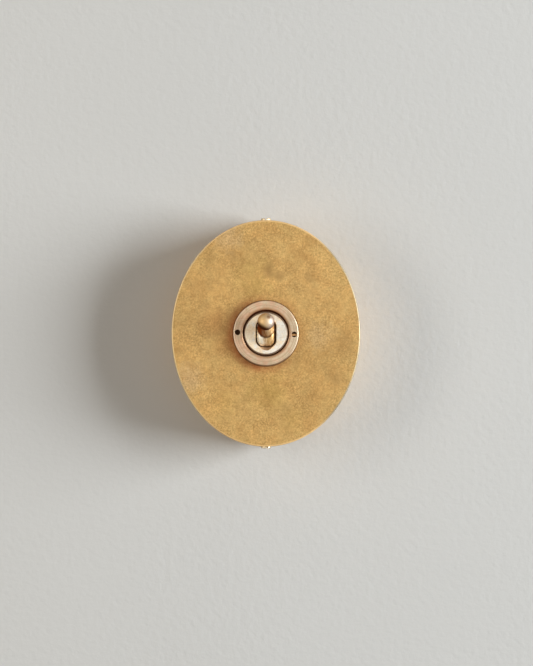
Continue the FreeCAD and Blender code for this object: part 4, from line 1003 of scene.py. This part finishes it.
for name, (slot_turn, tip_over, seat) in COVER_SCREWS.items():
    screw = copied(head, name)
    bpy.ops.object.select_all(action="DESELECT")
    bpy.ops.mesh.primitive_cube_add(size=1, location=(0, -HEAD_HEIGHT, 0))
    driver = bpy.context.object
    driver.scale = (SLOT_WIDTH, 2 * SLOT_DEPTH, 4 * HEAD_RADIUS)
    driver.rotation_euler.y = slot_turn
    cut_away(screw, driver)
    copied(thread, "screw_thread")
    screw.select_set(True)
    bpy.context.view_layer.objects.active = screw
    bpy.ops.object.join()
    screw.rotation_euler.x = tip_over
    screw.location = (0, -SCREW_HEIGHT, seat)
    bpy.ops.object.transform_apply(location=True, rotation=True, scale=False)
    smooth(screw)
    screw.data.materials.append(screw_brass)
    stand_for(screw, "cover_screws")
for pattern in (head, thread):
    bpy.data.objects.remove(pattern)

# Wall and floor: a plain pale backdrop that the switch is fixed to, left open from behind so
# that the back of the switch can be seen, and a pale floor well below it.
WALL_SIZE = 3.0
FLOOR_SIZE = 60.0
FLOOR_DROP = 3.5
WALL_GAP = 0.0004
SHORTEST_RAY = 0.004
FLOOR_GLOW = 0.86
WALL_TONES = ((0.60, 0.58, 0.54), (0.64, 0.62, 0.58))
FLOOR_TONES = ((0.62, 0.61, 0.59), (0.66, 0.65, 0.63))
bpy.ops.object.select_all(action="DESELECT")
bpy.ops.mesh.primitive_plane_add(size=WALL_SIZE, location=(0, WALL_GAP, 0), rotation=(math.pi / 2, 0, 0))
wall = bpy.context.object
wall.name = "wall"
bpy.ops.mesh.primitive_plane_add(size=FLOOR_SIZE, location=(0, 0, -FLOOR_DROP))
floor = bpy.context.object
floor.name = "floor"
pale_wall, tree, shader = new_finish("pale_wall")
place = object_place(tree)
wall_tone = blend(tree, noise(tree, place, scale=6), *WALL_TONES)
feed(tree, shader.inputs["Base Color"], wall_tone)
shader.inputs["Roughness"].default_value = 0.9
raise_surface(tree, shader, noise(tree, place, scale=260, detail=3), distance=0.0002)


def seen_rays(tree):
    """1 for what the camera sees, straight or by way of metal or glass, and 0 for the light itself."""
    rays = tree.nodes.new("ShaderNodeLightPath").outputs
    seen = calc(tree, "MAXIMUM", rays["Is Camera Ray"], rays["Is Glossy Ray"])
    return calc(tree, "MAXIMUM", seen, rays["Is Transmission Ray"])


# The wall shows only from the front, and only to rays longer than the shortest one
distance = tree.nodes.new("ShaderNodeLightPath").outputs["Ray Length"]
seen = calc(tree, "MULTIPLY", seen_rays(tree), calc(tree, "GREATER_THAN", distance, SHORTEST_RAY))
facing = calc(tree, "SUBTRACT", 1, tree.nodes.new("ShaderNodeNewGeometry").outputs["Backfacing"])
choice = tree.nodes.new("ShaderNodeMixShader")
feed(tree, choice.inputs[0], calc(tree, "MULTIPLY", seen, facing))
feed(tree, choice.inputs[1], tree.nodes.new("ShaderNodeBsdfTransparent").outputs[0])
feed(tree, choice.inputs[2], shader.outputs[0])
feed(tree, tree.nodes["Material Output"].inputs["Surface"], choice.outputs[0])
wall.data.materials.append(pale_wall)
pale_floor, tree, shader = new_finish("pale_floor")
place = object_place(tree)
floor_tone = blend(tree, noise(tree, place, scale=6), *FLOOR_TONES)
feed(tree, shader.inputs["Base Color"], floor_tone)
feed(tree, shader.inputs["Emission Color"], floor_tone)
feed(tree, shader.inputs["Emission Strength"], calc(tree, "MULTIPLY", seen_rays(tree), FLOOR_GLOW))
shader.inputs["Roughness"].default_value = 0.9
floor.data.materials.append(pale_floor)

# Light: a soft window to the right, a weaker one to the left, a large dim screen behind the
# camera, a lamp for the back, and an even pale room.
LAMP_AIM = Vector((0, -0.02, 0))
ROOM_TONE = (0.99, 0.99, 1.0)
ROOM_GLOW = 0.52
ROOM_LIGHT = 0.1


def soft_box(name, place, width, height, power, colour):
    """A soft rectangular lamp aimed at the switch."""
    lamp = bpy.data.lights.new(name, "AREA")
    lamp.shape = "RECTANGLE"
    lamp.size = width
    lamp.size_y = height
    lamp.energy = power
    lamp.color = colour
    stand = bpy.data.objects.new(name, lamp)
    stand.location = place
    stand.rotation_euler = (LAMP_AIM - stand.location).to_track_quat("-Z", "Y").to_euler()
    stand.visible_camera = False
    bpy.context.scene.collection.objects.link(stand)


soft_box("window_right", (2.74, -1.28, 0.20), width=1.6, height=1.6, power=154, colour=(0.88, 0.94, 1.0))
soft_box("window_left", (-1.15, -0.85, 0.15), width=0.4, height=0.9, power=6.6, colour=(1.0, 0.92, 0.82))
soft_box("screen_front", (0.1, -1.75, 0.3), width=1.6, height=1.6, power=3.6, colour=(1.0, 0.98, 0.95))
soft_box("lamp_back", (-0.9, 3.3, 1.6), width=1.8, height=1.8, power=80, colour=(1.0, 1.0, 1.0))
room = bpy.data.worlds.new("room")
bpy.context.scene.world = room
room.use_nodes = True
tree = room.node_tree
feed(tree, tree.nodes["Background"].inputs["Color"], ROOM_TONE)
pale = calc(tree, "ADD", calc(tree, "MULTIPLY", seen_rays(tree), ROOM_GLOW), ROOM_LIGHT)
feed(tree, tree.nodes["Background"].inputs["Strength"], pale)

# Camera: straight in front of the switch, as the photograph was taken, and about a metre away, so
# that the perspective is slight.
FRAME_HEIGHT = 0.3524
CAMERA_GAP = 0.95
CAMERA_RIGHT = 0.0003
CAMERA_UP = 0.0002
SENSOR_WIDTH = 36
lens = bpy.data.cameras.new("camera")
lens.sensor_width = SENSOR_WIDTH
lens.lens = SENSOR_WIDTH * CAMERA_GAP / FRAME_HEIGHT
camera = bpy.data.objects.new("camera", lens)
camera.location = (CAMERA_RIGHT, -(COVER_DEPTH + CAMERA_GAP), CAMERA_UP)
camera.rotation_euler = (math.pi / 2, 0, 0)
bpy.context.scene.collection.objects.link(camera)
bpy.context.scene.camera = camera
bpy.context.scene.view_settings.view_transform = "Standard"
